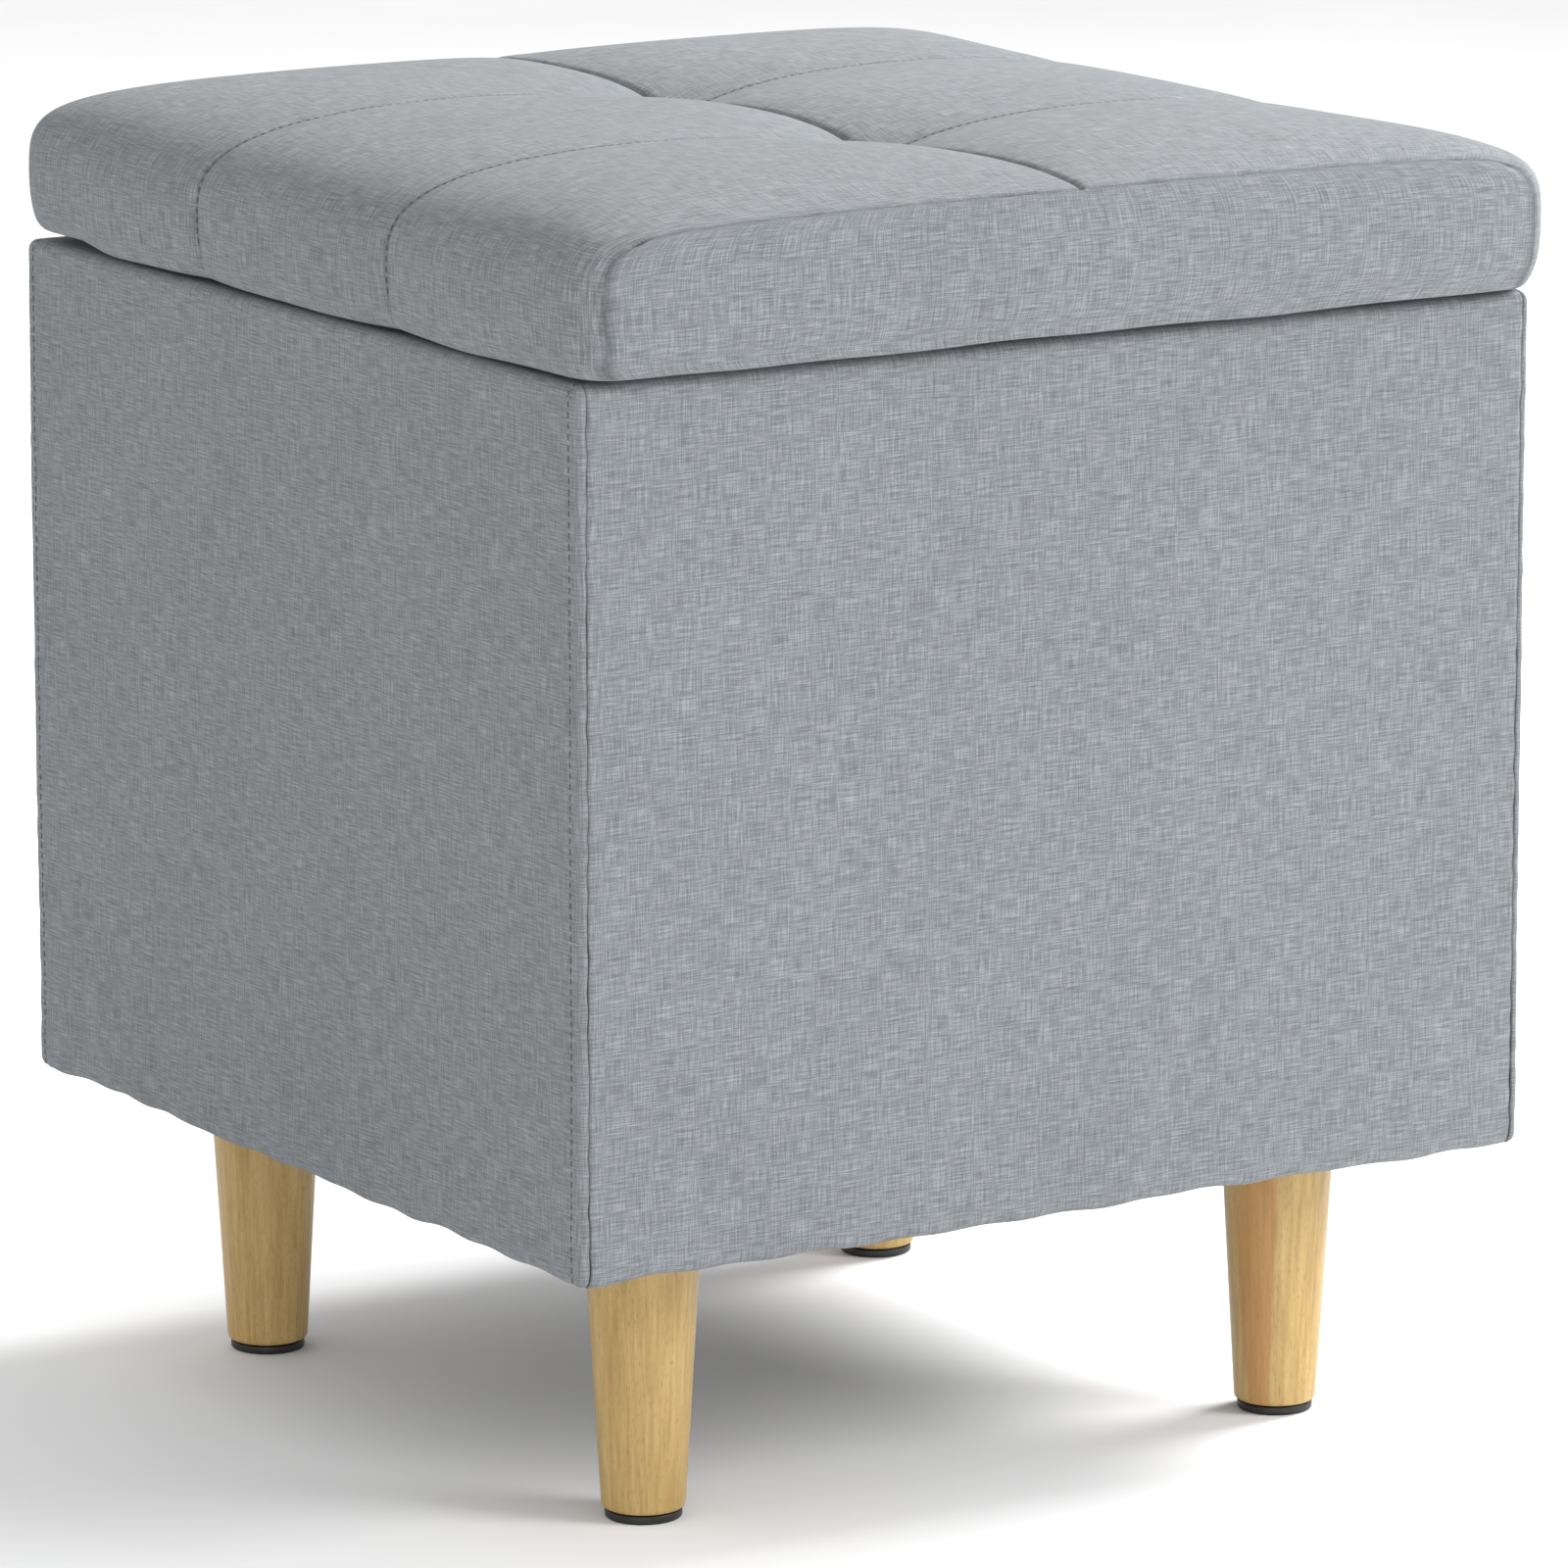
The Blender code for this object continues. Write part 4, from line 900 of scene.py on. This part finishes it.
work = lid_cover()
print("points on the open bottom edge:", sum(vertex.is_boundary for vertex in work.verts))
print("highest open point:", round(max(v.co.z for v in work.verts if v.is_boundary) - LID_BOTTOM, 5))
lining_low, lining_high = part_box("lid_lining")
for spread in TURN_IN_RINGS:
    margin = Vector((spread, spread, 0))
    turn_in(work, lining_low - margin, lining_high + margin)
pin = work.verts.layers.float["pin"]
for vertex in work.verts:
    if vertex.co.z < LID_BOTTOM + PIN_BAND:
        vertex[pin] = 1.0
for face in work.faces:
    face.smooth = True
bmesh.ops.recalc_face_normals(work, faces=work.faces)
cushion = finish_mesh(work, "lid_cushion", LINEN)
top_faces = [face for face in cushion.data.polygons if face.center.z > SHOULDER + 20 * MM]
if sum(face.normal.z * face.area for face in top_faces) < 0:
    cushion.data.flip_normals()
print("lid cover:", len(cushion.data.vertices), "points")

# %% [markdown]
# ## Stuff the lid
#
# Blender's Cloth pushes each point outwards with an even pressure, while the points on a seam, at a
# tuft and along the bottom edge stay pinned. Gravity is off, because the foam carries the cloth.
# Each point's movement is capped, so the lid keeps its height.

# %% Run the cloth simulation
PRESSURE = 3.0
STUFFING_FRAMES = 20
FURTHEST = 5 * MM


def read_layer(mesh, name):
    values = np.zeros(len(mesh.vertices), dtype=np.float32)
    mesh.attributes[name].data.foreach_get("value", values)
    return values


def read_points(mesh):
    points = np.zeros(len(mesh.vertices) * 3, dtype=np.float32)
    mesh.vertices.foreach_get("co", points)
    return points.reshape(-1, 3)


def stuff(piece, pins, pressure, frames, furthest):
    """Swells a piece between its pinned points and keeps the result in its mesh."""
    group = piece.vertex_groups.new(name="pins")
    for i in np.nonzero(pins > 0.5)[0]:
        group.add([int(i)], 1.0, "REPLACE")
    start = read_points(piece.data)
    cloth = piece.modifiers.new("cloth", "CLOTH")
    settings = cloth.settings
    settings.vertex_group_mass = group.name
    settings.quality = 5
    settings.mass = 0.25
    settings.tension_stiffness = 20
    settings.compression_stiffness = 20
    settings.shear_stiffness = 5
    settings.bending_stiffness = 1.0
    settings.use_pressure = True
    settings.uniform_pressure_force = pressure
    settings.effector_weights.gravity = 0.0
    cloth.collision_settings.use_collision = False
    cloth.point_cache.frame_start = 1
    cloth.point_cache.frame_end = frames
    for frame_number in range(1, frames + 1):
        bpy.context.scene.frame_set(frame_number)
    settled = piece.evaluated_get(bpy.context.evaluated_depsgraph_get())
    moved = read_points(settled.data)
    piece.modifiers.remove(cloth)
    piece.vertex_groups.remove(group)
    bpy.context.scene.frame_set(1)
    step = moved - start
    reach = np.linalg.norm(step, axis=1, keepdims=True)
    step *= np.minimum(1.0, furthest / np.maximum(reach, 1e-9))
    piece.data.vertices.foreach_set("co", (start + step).astype(np.float32).ravel())
    piece.data.update()
    return float(reach.max()), float(reach.mean())


furthest, mean = stuff(cushion, read_layer(cushion.data, "pin"), PRESSURE, STUFFING_FRAMES, FURTHEST)
print("stuffing moved points by up to", round(furthest, 4), "m, on average", round(mean, 5), "m")

# %% [markdown]
# ## Draw the seams in
#
# A seam pulls its own line of cloth down sharply, within a millimetre or two. The grid has lines
# just beside each seam, so a narrow groove moves only those.

# %% Press the seam lines
MIDDLE_SEAM_DEPTH = 2.0 * MM
CROSS_SEAM_DEPTH = 0.9 * MM
END_SEAM_DEPTH = 1.8 * MM
SEAM_GROOVE = 1.1 * MM
END_GROOVE = 0.9 * MM


def groove(distance, depth, width):
    return depth * np.exp(-(distance / width) ** 2)


def press_seams(piece):
    mesh = piece.data
    s, v = read_layer(mesh, "s"), read_layer(mesh, "v")
    strip = read_layer(mesh, "strip")
    normals = np.zeros(len(mesh.vertices) * 3, dtype=np.float32)
    mesh.vertices.foreach_get("normal", normals)
    points = read_points(mesh)
    off_strip = 1.0 - strip
    to_tuft = np.minimum(abs(v - TUFTS[0]), abs(v - TUFTS[1]))
    to_end = np.minimum(abs(v - FRONT_SEAM), abs(v - BACK_SEAM)) + strip * 1.0
    depth = groove(s, MIDDLE_SEAM_DEPTH, SEAM_GROOVE) * off_strip
    depth = np.maximum(depth, groove(to_tuft, CROSS_SEAM_DEPTH, SEAM_GROOVE) * off_strip)
    upright = np.clip((SEAM_HEIGHT - 6 * MM - points[:, 2]) / (8 * MM), 0, 1)
    depth = np.maximum(depth, groove(to_end, END_SEAM_DEPTH, END_GROOVE) * (1 - 0.7 * upright))
    depth *= points[:, 2] > LID_BOTTOM + 3 * MM
    points -= normals.reshape(-1, 3) * depth[:, None]
    mesh.vertices.foreach_set("co", points.ravel())
    mesh.update()


press_seams(cushion)
thicken(cushion, LID_CLOTH)
smoother = cushion.modifiers.new("smoother", "SUBSURF")
smoother.levels = smoother.render_levels = 1
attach(cushion, "lid")
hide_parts("lid_top_cover", "lid_front_cover", "lid_back_cover", "lid_foam")
print("seams pressed")


# %% Stitch the two cross seams
STITCH_PROUD = 0.75 * MM


def along_cross_seam(mesh, tuft):
    """The cover's points on one cross seam, in order from left to right, with their normals."""
    s, v, strip = (read_layer(mesh, name) for name in ("s", "v", "strip"))
    points = read_points(mesh)
    on_line = [i for i in range(len(s)) if strip[i] < 0.5 and abs(v[i] - tuft) < 1e-6]
    on_line = [i for i in on_line if points[i][2] > LID_BOTTOM + 8 * MM]
    on_line.sort(key=lambda i: s[i])
    return [Vector(points[i]) for i in on_line], [mesh.vertices[i].normal.copy() for i in on_line]


for tuft, end_name in zip(TUFTS, ("front", "back")):
    line, outs = along_cross_seam(cushion.data, tuft)
    line = [point + out * STITCH_PROUD for point, out in zip(line, outs)]
    stitch_row("cross_stitches_" + end_name, line, lambda i: outs[i], "lid")
print("cross seams stitched")

# %% [markdown]
# ## Linings
#
# Three pieces of nonwoven close the ottoman: a sewn bag inside the box, a dust cover under the base,
# and a sheet under the lid. Such cloth is thin and stiff. It's cut a little large, so it stands in
# soft dents between its staples, and the edges of the flat sheets bend to a set level.

# %% A dented sheet


def split_at(work, spacing):
    """Cuts a bmesh into a grid with planes across each axis."""
    for axis in range(3):
        values = [vertex.co[axis] for vertex in work.verts]
        low, high = min(values), max(values)
        normal = Vector([1.0 if i == axis else 0.0 for i in range(3)])
        for i in range(1, max(1, round((high - low) / spacing))):
            at = normal * (low + (high - low) * i / round((high - low) / spacing))
            bmesh.ops.bisect_plane(work, geom=work.verts[:] + work.edges[:] + work.faces[:],
                                   plane_co=at, plane_no=normal, dist=0.01 * MM)


def dents(point, size, seed):
    """0 to 1: soft dents with a crease here and there."""
    broad = swell(point, size, seed)
    crease = 1 - abs(swell(point, size * 0.8, seed + 5))
    return 0.5 + 0.3 * broad + 0.2 * crease ** 6


# %% The bag inside the box
LINING_CLOTH = 0.5 * MM
BAG_DENT = 2.2 * MM
BAG_SPACING = 7 * MM


def lining_bag():
    low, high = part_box("inner_lining")
    middle = (low + high) / 2
    work = bmesh.new()
    bmesh.ops.create_cube(work, size=1.0)
    bmesh.ops.scale(work, vec=high - low, verts=work.verts)
    bmesh.ops.translate(work, vec=middle, verts=work.verts)
    top = [face for face in work.faces if face.normal.z > 0.5]
    bmesh.ops.delete(work, geom=top, context="FACES_ONLY")
    split_at(work, BAG_SPACING)
    work.normal_update()
    stay_low, stay_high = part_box("stay_wall_bracket")
    for vertex in work.verts:
        inwards = -vertex.normal
        edge = min(1.0, (high.z - vertex.co.z) / (30 * MM))
        near_stay = max(0.0, 1 - (vertex.co - (stay_low + stay_high) / 2).length / (60 * MM))
        bolts = 0.3 if vertex.co.z < low.z + 1 * MM else 1.0
        vertex.co += inwards * BAG_DENT * dents(vertex.co, 60 * MM, 2.0) * edge * (1 - near_stay) * bolts
    bmesh.ops.reverse_faces(work, faces=work.faces)
    for face in work.faces:
        face.smooth = True
    bag = finish_mesh(work, "lining_bag", NONWOVEN)
    thicken(bag, LINING_CLOTH)
    softer = bag.modifiers.new("corners", "SUBSURF")
    softer.levels = softer.render_levels = 1
    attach(bag, "box")
    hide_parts("inner_lining")
    return high


bag_top = lining_bag()
print("lining bag hung from", round(bag_top.z, 4))


# %% The flat sheets under the base and under the lid
SHEET_CLOTH = 0.4 * MM
SHEET_SPACING = 3 * MM
LIP_START = 8 * MM
LIP_RUN = 5 * MM


def flat_lining(name, node, body, spread, level, seed, dip):
    """A sheet over a node's place, spread wider by a margin, with its edge at a level."""
    low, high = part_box(node)
    half = (high - low) / 2
    middle = (low + high) / 2
    across = stations(-half.x - spread, half.x + spread, SHEET_SPACING)
    along = stations(-half.y - spread, half.y + spread, SHEET_SPACING)

    def place(a, b):
        beyond = max(abs(a) - half.x + LIP_START, abs(b) - half.y + LIP_START, 0.0)
        slope = min(1.0, beyond / LIP_RUN)
        slope = slope * slope * (3 - 2 * slope)
        inside = min(1.0, min(half.x - abs(a), half.y - abs(b)) / (25 * MM)) if beyond == 0 else 0.0
        dent = dip * dents((a, b, 0), 55 * MM, seed) * max(inside, 0.0)
        wave = 0.15 * MM * swell((a, b, seed), 18 * MM) * slope
        return Vector((middle.x + a, middle.y + b, middle.z + (level - middle.z) * slope - dent + wave))

    work = cloth_grid(across, along, place)
    bmesh.ops.recalc_face_normals(work, faces=work.faces)
    piece = finish_mesh(work, name, NONWOVEN)
    if piece.data.polygons[0].normal.z > 0:
        piece.data.flip_normals()
    thicken(piece, SHEET_CLOTH)
    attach(piece, body)
    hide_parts(node)


UNDER_HEM = HEM - 0.5 * MM
flat_lining("dust_sheet", "dust_cover", "box", 6 * MM, UNDER_HEM, 3.0, 0.0)
ABOVE_TURN_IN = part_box("lid_board")[0].z - 0.3 * MM
flat_lining("lid_lining_sheet", "lid_lining", "lid", 4 * MM, ABOVE_TURN_IN, 8.0, 0.3 * MM)
print("flat linings laid")

# %% [markdown]
# ## Staples
#
# The cloth is held by wire staples, about 10 mm wide, in rows round the underside of the base and of
# the lid. Only the crown of a staple shows, so each is a short bar with rounded edges.

# %% Drive the staples
STAPLE_WIDTH = 10 * MM
STAPLE_WIRE = 0.9 * MM
STAPLE_ROUNDING = 0.25 * MM
BASE_STAPLE_PITCH = 34 * MM
LID_STAPLE_PITCH = 26 * MM


def staple_bar(work, at, along, down):
    across = along.cross(down)
    turn = Matrix((along, across, down)).transposed().to_4x4()
    size = Matrix.Diagonal((STAPLE_WIDTH, STAPLE_WIRE, STAPLE_WIRE, 1.0))
    bar = bmesh.ops.create_cube(work, size=1.0, matrix=Matrix.Translation(at) @ turn @ size)["verts"]
    edges = {edge for vertex in bar for edge in vertex.link_edges}
    bmesh.ops.bevel(work, geom=list(edges), offset=STAPLE_ROUNDING, segments=1, affect="EDGES", profile=0.5,
                    material=-1)


def staple_row(name, half_x, half_y, middle_y, level, pitch, body, skip=()):
    """Staples round a rectangle, facing down, left out where they would meet a fitting."""
    work = bmesh.new()
    down = Vector((0, 0, -1))
    count = 0
    for half_run, half_out, turned_row in ((half_x, half_y, False), (half_y, half_x, True)):
        number = int(2 * half_run / pitch)
        for side in (-1, 1):
            for i in range(number):
                run = (i + 0.5 - number / 2) * pitch + 3 * MM * swell((i * 0.37, side, half_out), 0.5)
                out = side * (half_out + 1.5 * MM * swell((i * 0.71, side, half_run), 0.5))
                lean = 0.25 * swell((i * 0.53, side, half_run + 2), 0.4)
                at, along = Vector((run, out, level)), Vector((math.cos(lean), math.sin(lean), 0))
                if turned_row:
                    at.xy, along.xy = at.yx, along.yx
                at.y += middle_y
                if any(low.x < at.x < high.x and low.y < at.y < high.y for low, high in skip):
                    continue
                staple_bar(work, at, along, down)
                count += 1
    piece = finish_mesh(work, name, ZINC)
    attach(piece, body)
    return count


def around(node, margin):
    low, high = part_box(node)
    spread = Vector((margin, margin, 0))
    return low - spread, high + spread


CORNERS = ("front_left", "front_right", "back_left", "back_right")
LID_FITTINGS = ("left_hinge_lid_leaf", "right_hinge_lid_leaf", "stay_lid_bracket")
fittings = [around(node, 9 * MM) for node in LID_FITTINGS]
legs = [around("leg_" + where, 6 * MM) for where in CORNERS]
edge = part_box("dust_cover")[1].x + 3 * MM
level = UNDER_HEM - 0.5 * MM
base_count = staple_row("base_staples", edge, edge, MIDDLE_Y, level, BASE_STAPLE_PITCH, "box", legs)
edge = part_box("lid_lining")[1].x + 9 * MM
middle = (LID_FRONT + LID_BACK) / 2
level = LID_BOTTOM - 0.1 * MM
lid_count = staple_row("lid_staples", edge, edge, middle, level, LID_STAPLE_PITCH, "lid", fittings)
print(base_count, "staples under the base and", lid_count, "under the lid")

# %% [markdown]
# ## The legs and their glides
#
# A leg is turned on a lathe, so it is a profile spun about its axis. The frame's leg has the right
# taper; this one has the small rounding that sanding leaves at the foot and at the shoulder. The
# glide is a nylon disc with a soft edge, on a nail that the leg hides.

# %% Turn the legs
LEG_STEPS = 64
GLIDE_STEPS = 48
LEG_TAPER = 0.0285 / 0.040
GLIDE_THICKNESS = 3 * MM


def spun(profile, centre, steps, name, material):
    """Spins (radius, height) points about the upright line through centre."""
    work = bmesh.new()
    points = [work.verts.new((radius, 0.0, height)) for radius, height in profile]
    edges = [work.edges.new(pair) for pair in zip(points, points[1:])]
    bmesh.ops.spin(work, geom=points + edges, cent=(0, 0, 0), axis=(0, 0, 1), angle=2 * math.pi,
                   steps=steps, use_merge=True)
    bmesh.ops.remove_doubles(work, verts=work.verts, dist=0.000005)
    bmesh.ops.recalc_face_normals(work, faces=work.faces)
    bmesh.ops.translate(work, verts=work.verts, vec=centre)
    for face in work.faces:
        face.smooth = True
    piece = finish_mesh(work, name, material)
    piece.data.set_sharp_from_angle(angle=math.radians(50))
    return piece


def rounded(corner_in, corner, corner_out, radius, steps=5):
    """Points round a profile's corner, between the lines to its two neighbours."""
    corner = Vector(corner)
    before = (Vector(corner_in) - corner).normalized()
    after = (Vector(corner_out) - corner).normalized()
    start, end = corner + before * radius, corner + after * radius
    points = []
    for i in range(steps + 1):
        t = i / steps
        points.append(tuple((1 - t) ** 2 * start + 2 * t * (1 - t) * corner + t ** 2 * end))
    return points


def leg_profile(low, high):
    top_radius = (high.x - low.x) / 2
    foot_radius = top_radius * LEG_TAPER
    top = (top_radius, high.z)
    foot = (foot_radius, low.z)
    hole = (3 * MM, low.z)
    profile = [(0.0, high.z)]
    profile += rounded((0, high.z), top, foot, 0.8 * MM)
    for i in range(1, 8):
        t = i / 8
        profile.append((top_radius + (foot_radius - top_radius) * t, high.z + (low.z - high.z) * t))
    profile += rounded(top, foot, hole, 2.2 * MM)
    return profile + [(0.0, low.z)]


for where in CORNERS:
    node = "leg_" + where
    low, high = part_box(node)
    centre = Vector(((low.x + high.x) / 2, (low.y + high.y) / 2, 0.0))
    leg = spun(leg_profile(low, high), centre, LEG_STEPS, "turned_" + node, RUBBERWOOD)
    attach(leg, "box")
    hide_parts(node)
    node = "glide_" + where
    low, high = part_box(node)
    radius = (high.x - low.x) / 2
    top = GLIDE_THICKNESS
    disc = [(0.0, top), (radius - 0.4 * MM, top)]
    disc += rounded((radius - 1 * MM, top), (radius, top), (radius, 0), 0.5 * MM, 3)
    disc += rounded((radius, top), (radius, 0.0), (0, 0), 1.2 * MM, 4)
    disc.append((0.0, 0.0))
    glide = spun(disc, centre, GLIDE_STEPS, "moulded_" + node, BLACK_NYLON)
    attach(glide, "box")
    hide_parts(node)
print("legs and glides turned")

# %% [markdown]
# ## Screws with a cross recess
#
# The frame's screws are plain. When the lid is open their heads show, so each gets a head with a
# cross pressed into it. A grid is bent into a disc, the points inside the cross are pushed down, and
# the disc's edge is then extruded down to the shank and its tip.

# %% Make the screws
# The cross is drawn as shares of the head's radius.
CROSS_HALF_WIDTH = 0.17
CROSS_REACH = 0.62
CROSS_WALL = 0.05
HEAD_LINES = (CROSS_HALF_WIDTH, CROSS_HALF_WIDTH + CROSS_WALL,
              CROSS_REACH, CROSS_REACH + CROSS_WALL, 0.85, 1.0)
CROSS_DEPTH = 0.7 * MM
SCREW_TIP = 1.5 * MM


def cross_depth(a, b):
    """How deep the recess is at a place in the head, whose sides are at -1 and 1."""
    long, short = max(abs(a), abs(b)), min(abs(a), abs(b))
    return CROSS_DEPTH if long <= CROSS_REACH and short <= CROSS_HALF_WIDTH else 0.0


def screw(node, body, outward):
    """A screw in the place of a frame's screw, whose head faces outward."""
    low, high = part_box(node)
    half = (high - low) / 2
    along = [abs(value) for value in outward]
    length = 2 * sum(value * size for value, size in zip(along, half))
    head = max(size for value, size in zip(along, half) if value < 0.5)
    lines = sorted([0.0, *HEAD_LINES, *(-line for line in HEAD_LINES)])

    def place(a, b):
        x, y = a * math.sqrt(1 - b * b / 2), b * math.sqrt(1 - a * a / 2)
        return Vector((head * x, head * y, -cross_depth(a, b)))

    work = cloth_grid(lines, lines, place)
    shank = 0.5 * head
    for radius, height in ((shank, shank - head), (shank, SCREW_TIP - length), (0.0, -length)):
        edges = [edge for edge in work.edges if edge.is_boundary]
        grown = bmesh.ops.extrude_edge_only(work, edges=edges)["geom"]
        for point in grown:
            if isinstance(point, bmesh.types.BMVert):
                flat = Vector((point.co.x, point.co.y, 0)).normalized() * radius
                point.co = Vector((flat.x, flat.y, height))
    bmesh.ops.remove_doubles(work, verts=work.verts, dist=0.001 * MM)
    bmesh.ops.recalc_face_normals(work, faces=work.faces)
    turn = Vector((0, 0, 1)).rotation_difference(Vector(outward)).to_matrix().to_4x4()
    face_middle = (low + high) / 2 + Vector(outward) * length / 2
    bmesh.ops.transform(work, matrix=Matrix.Translation(face_middle) @ turn, verts=work.verts)
    for face in work.faces:
        face.smooth = False
    piece = finish_mesh(work, node + "_driven", ZINC)
    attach(piece, body)
    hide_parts(node)


for hinge in ("left_hinge", "right_hinge"):
    for end_name in ("left", "right"):
        screw(f"{hinge}_box_leaf_screw_{end_name}", "box", (0, 0, 1))
        screw(f"{hinge}_lid_leaf_screw_{end_name}", "lid", (0, 0, -1))
for end_name in ("lower", "upper"):
    screw("stay_wall_screw_" + end_name, "box", (-1, 0, 0))
for end_name in ("front", "back"):
    screw("stay_lid_screw_" + end_name, "lid", (0, 0, -1))
print("screws driven")

# %% Finish the frame's own pieces
FINISH_OF_SLOT = {
    "grey_fabric": LINEN,
    "black_nonwoven": NONWOVEN,
    "fibreboard": FIBREBOARD,
    "foam": FOAM,
    "rubberwood": RUBBERWOOD,
    "zinc_steel": ZINC,
    "black_plastic": BLACK_NYLON,
    "rubber": RUBBER,
    "twine": TWINE,
}
for part in frame["record"]["subparts"]:
    node = frame["nodes"][part["node"]]
    node.data.materials.clear()
    node.data.materials.append(FINISH_OF_SLOT[part["material_slot"]])
print(len(frame["nodes"]), "frame pieces finished")

# %% [markdown]
# ## Floor and light
#
# A large pale floor, a white surround, and three soft lamps: a big one from the right front, which
# makes the front face lighter than the left one, one from above on the right for the lid, and a low
# weak one from the left front for the legs.

# %% Floor, surround and lamps


def soft_lamp(name, place, target, size, power):
    lamp_data = bpy.data.lights.new(name, "AREA")
    lamp_data.shape = "DISK"
    lamp_data.size = size
    lamp_data.energy = power
    lamp = bpy.data.objects.new(name, lamp_data)
    lamp.location = place
    aim = Vector(target) - Vector(place)
    lamp.rotation_euler = aim.to_track_quat("-Z", "Y").to_euler()
    bpy.context.scene.collection.objects.link(lamp)


FLOOR_HALF = 12.0
SURROUND_STRENGTH = 0.85

floor_work = bmesh.new()
bmesh.ops.create_grid(floor_work, x_segments=1, y_segments=1, size=FLOOR_HALF)
FLOOR_FINISH = grainy("pale_floor", "F4F4F4", "FAFAFA", 0.5, 0.9, bump=0.0)
floor = finish_mesh(floor_work, "floor", FLOOR_FINISH)

world = bpy.data.worlds.new("surround")
world.use_nodes = True
background = world.node_tree.nodes["Background"]
background.inputs["Color"].default_value = (1.0, 1.0, 1.0, 1.0)
background.inputs["Strength"].default_value = SURROUND_STRENGTH
bpy.context.scene.world = world
bpy.context.scene.view_settings.view_transform = "Standard"

soft_lamp("key_lamp", (2.2, -2.6, 2.0), (0, 0, 0.25), 1.6, 82.0)
soft_lamp("top_lamp", (2.2, 0.2, 1.9), (0, 0, 0.4), 1.2, 105.0)
soft_lamp("low_fill", (-2.2, -2.8, 0.35), (0, 0, 0.15), 1.5, 27.0)
print("floor, surround and lamps set")
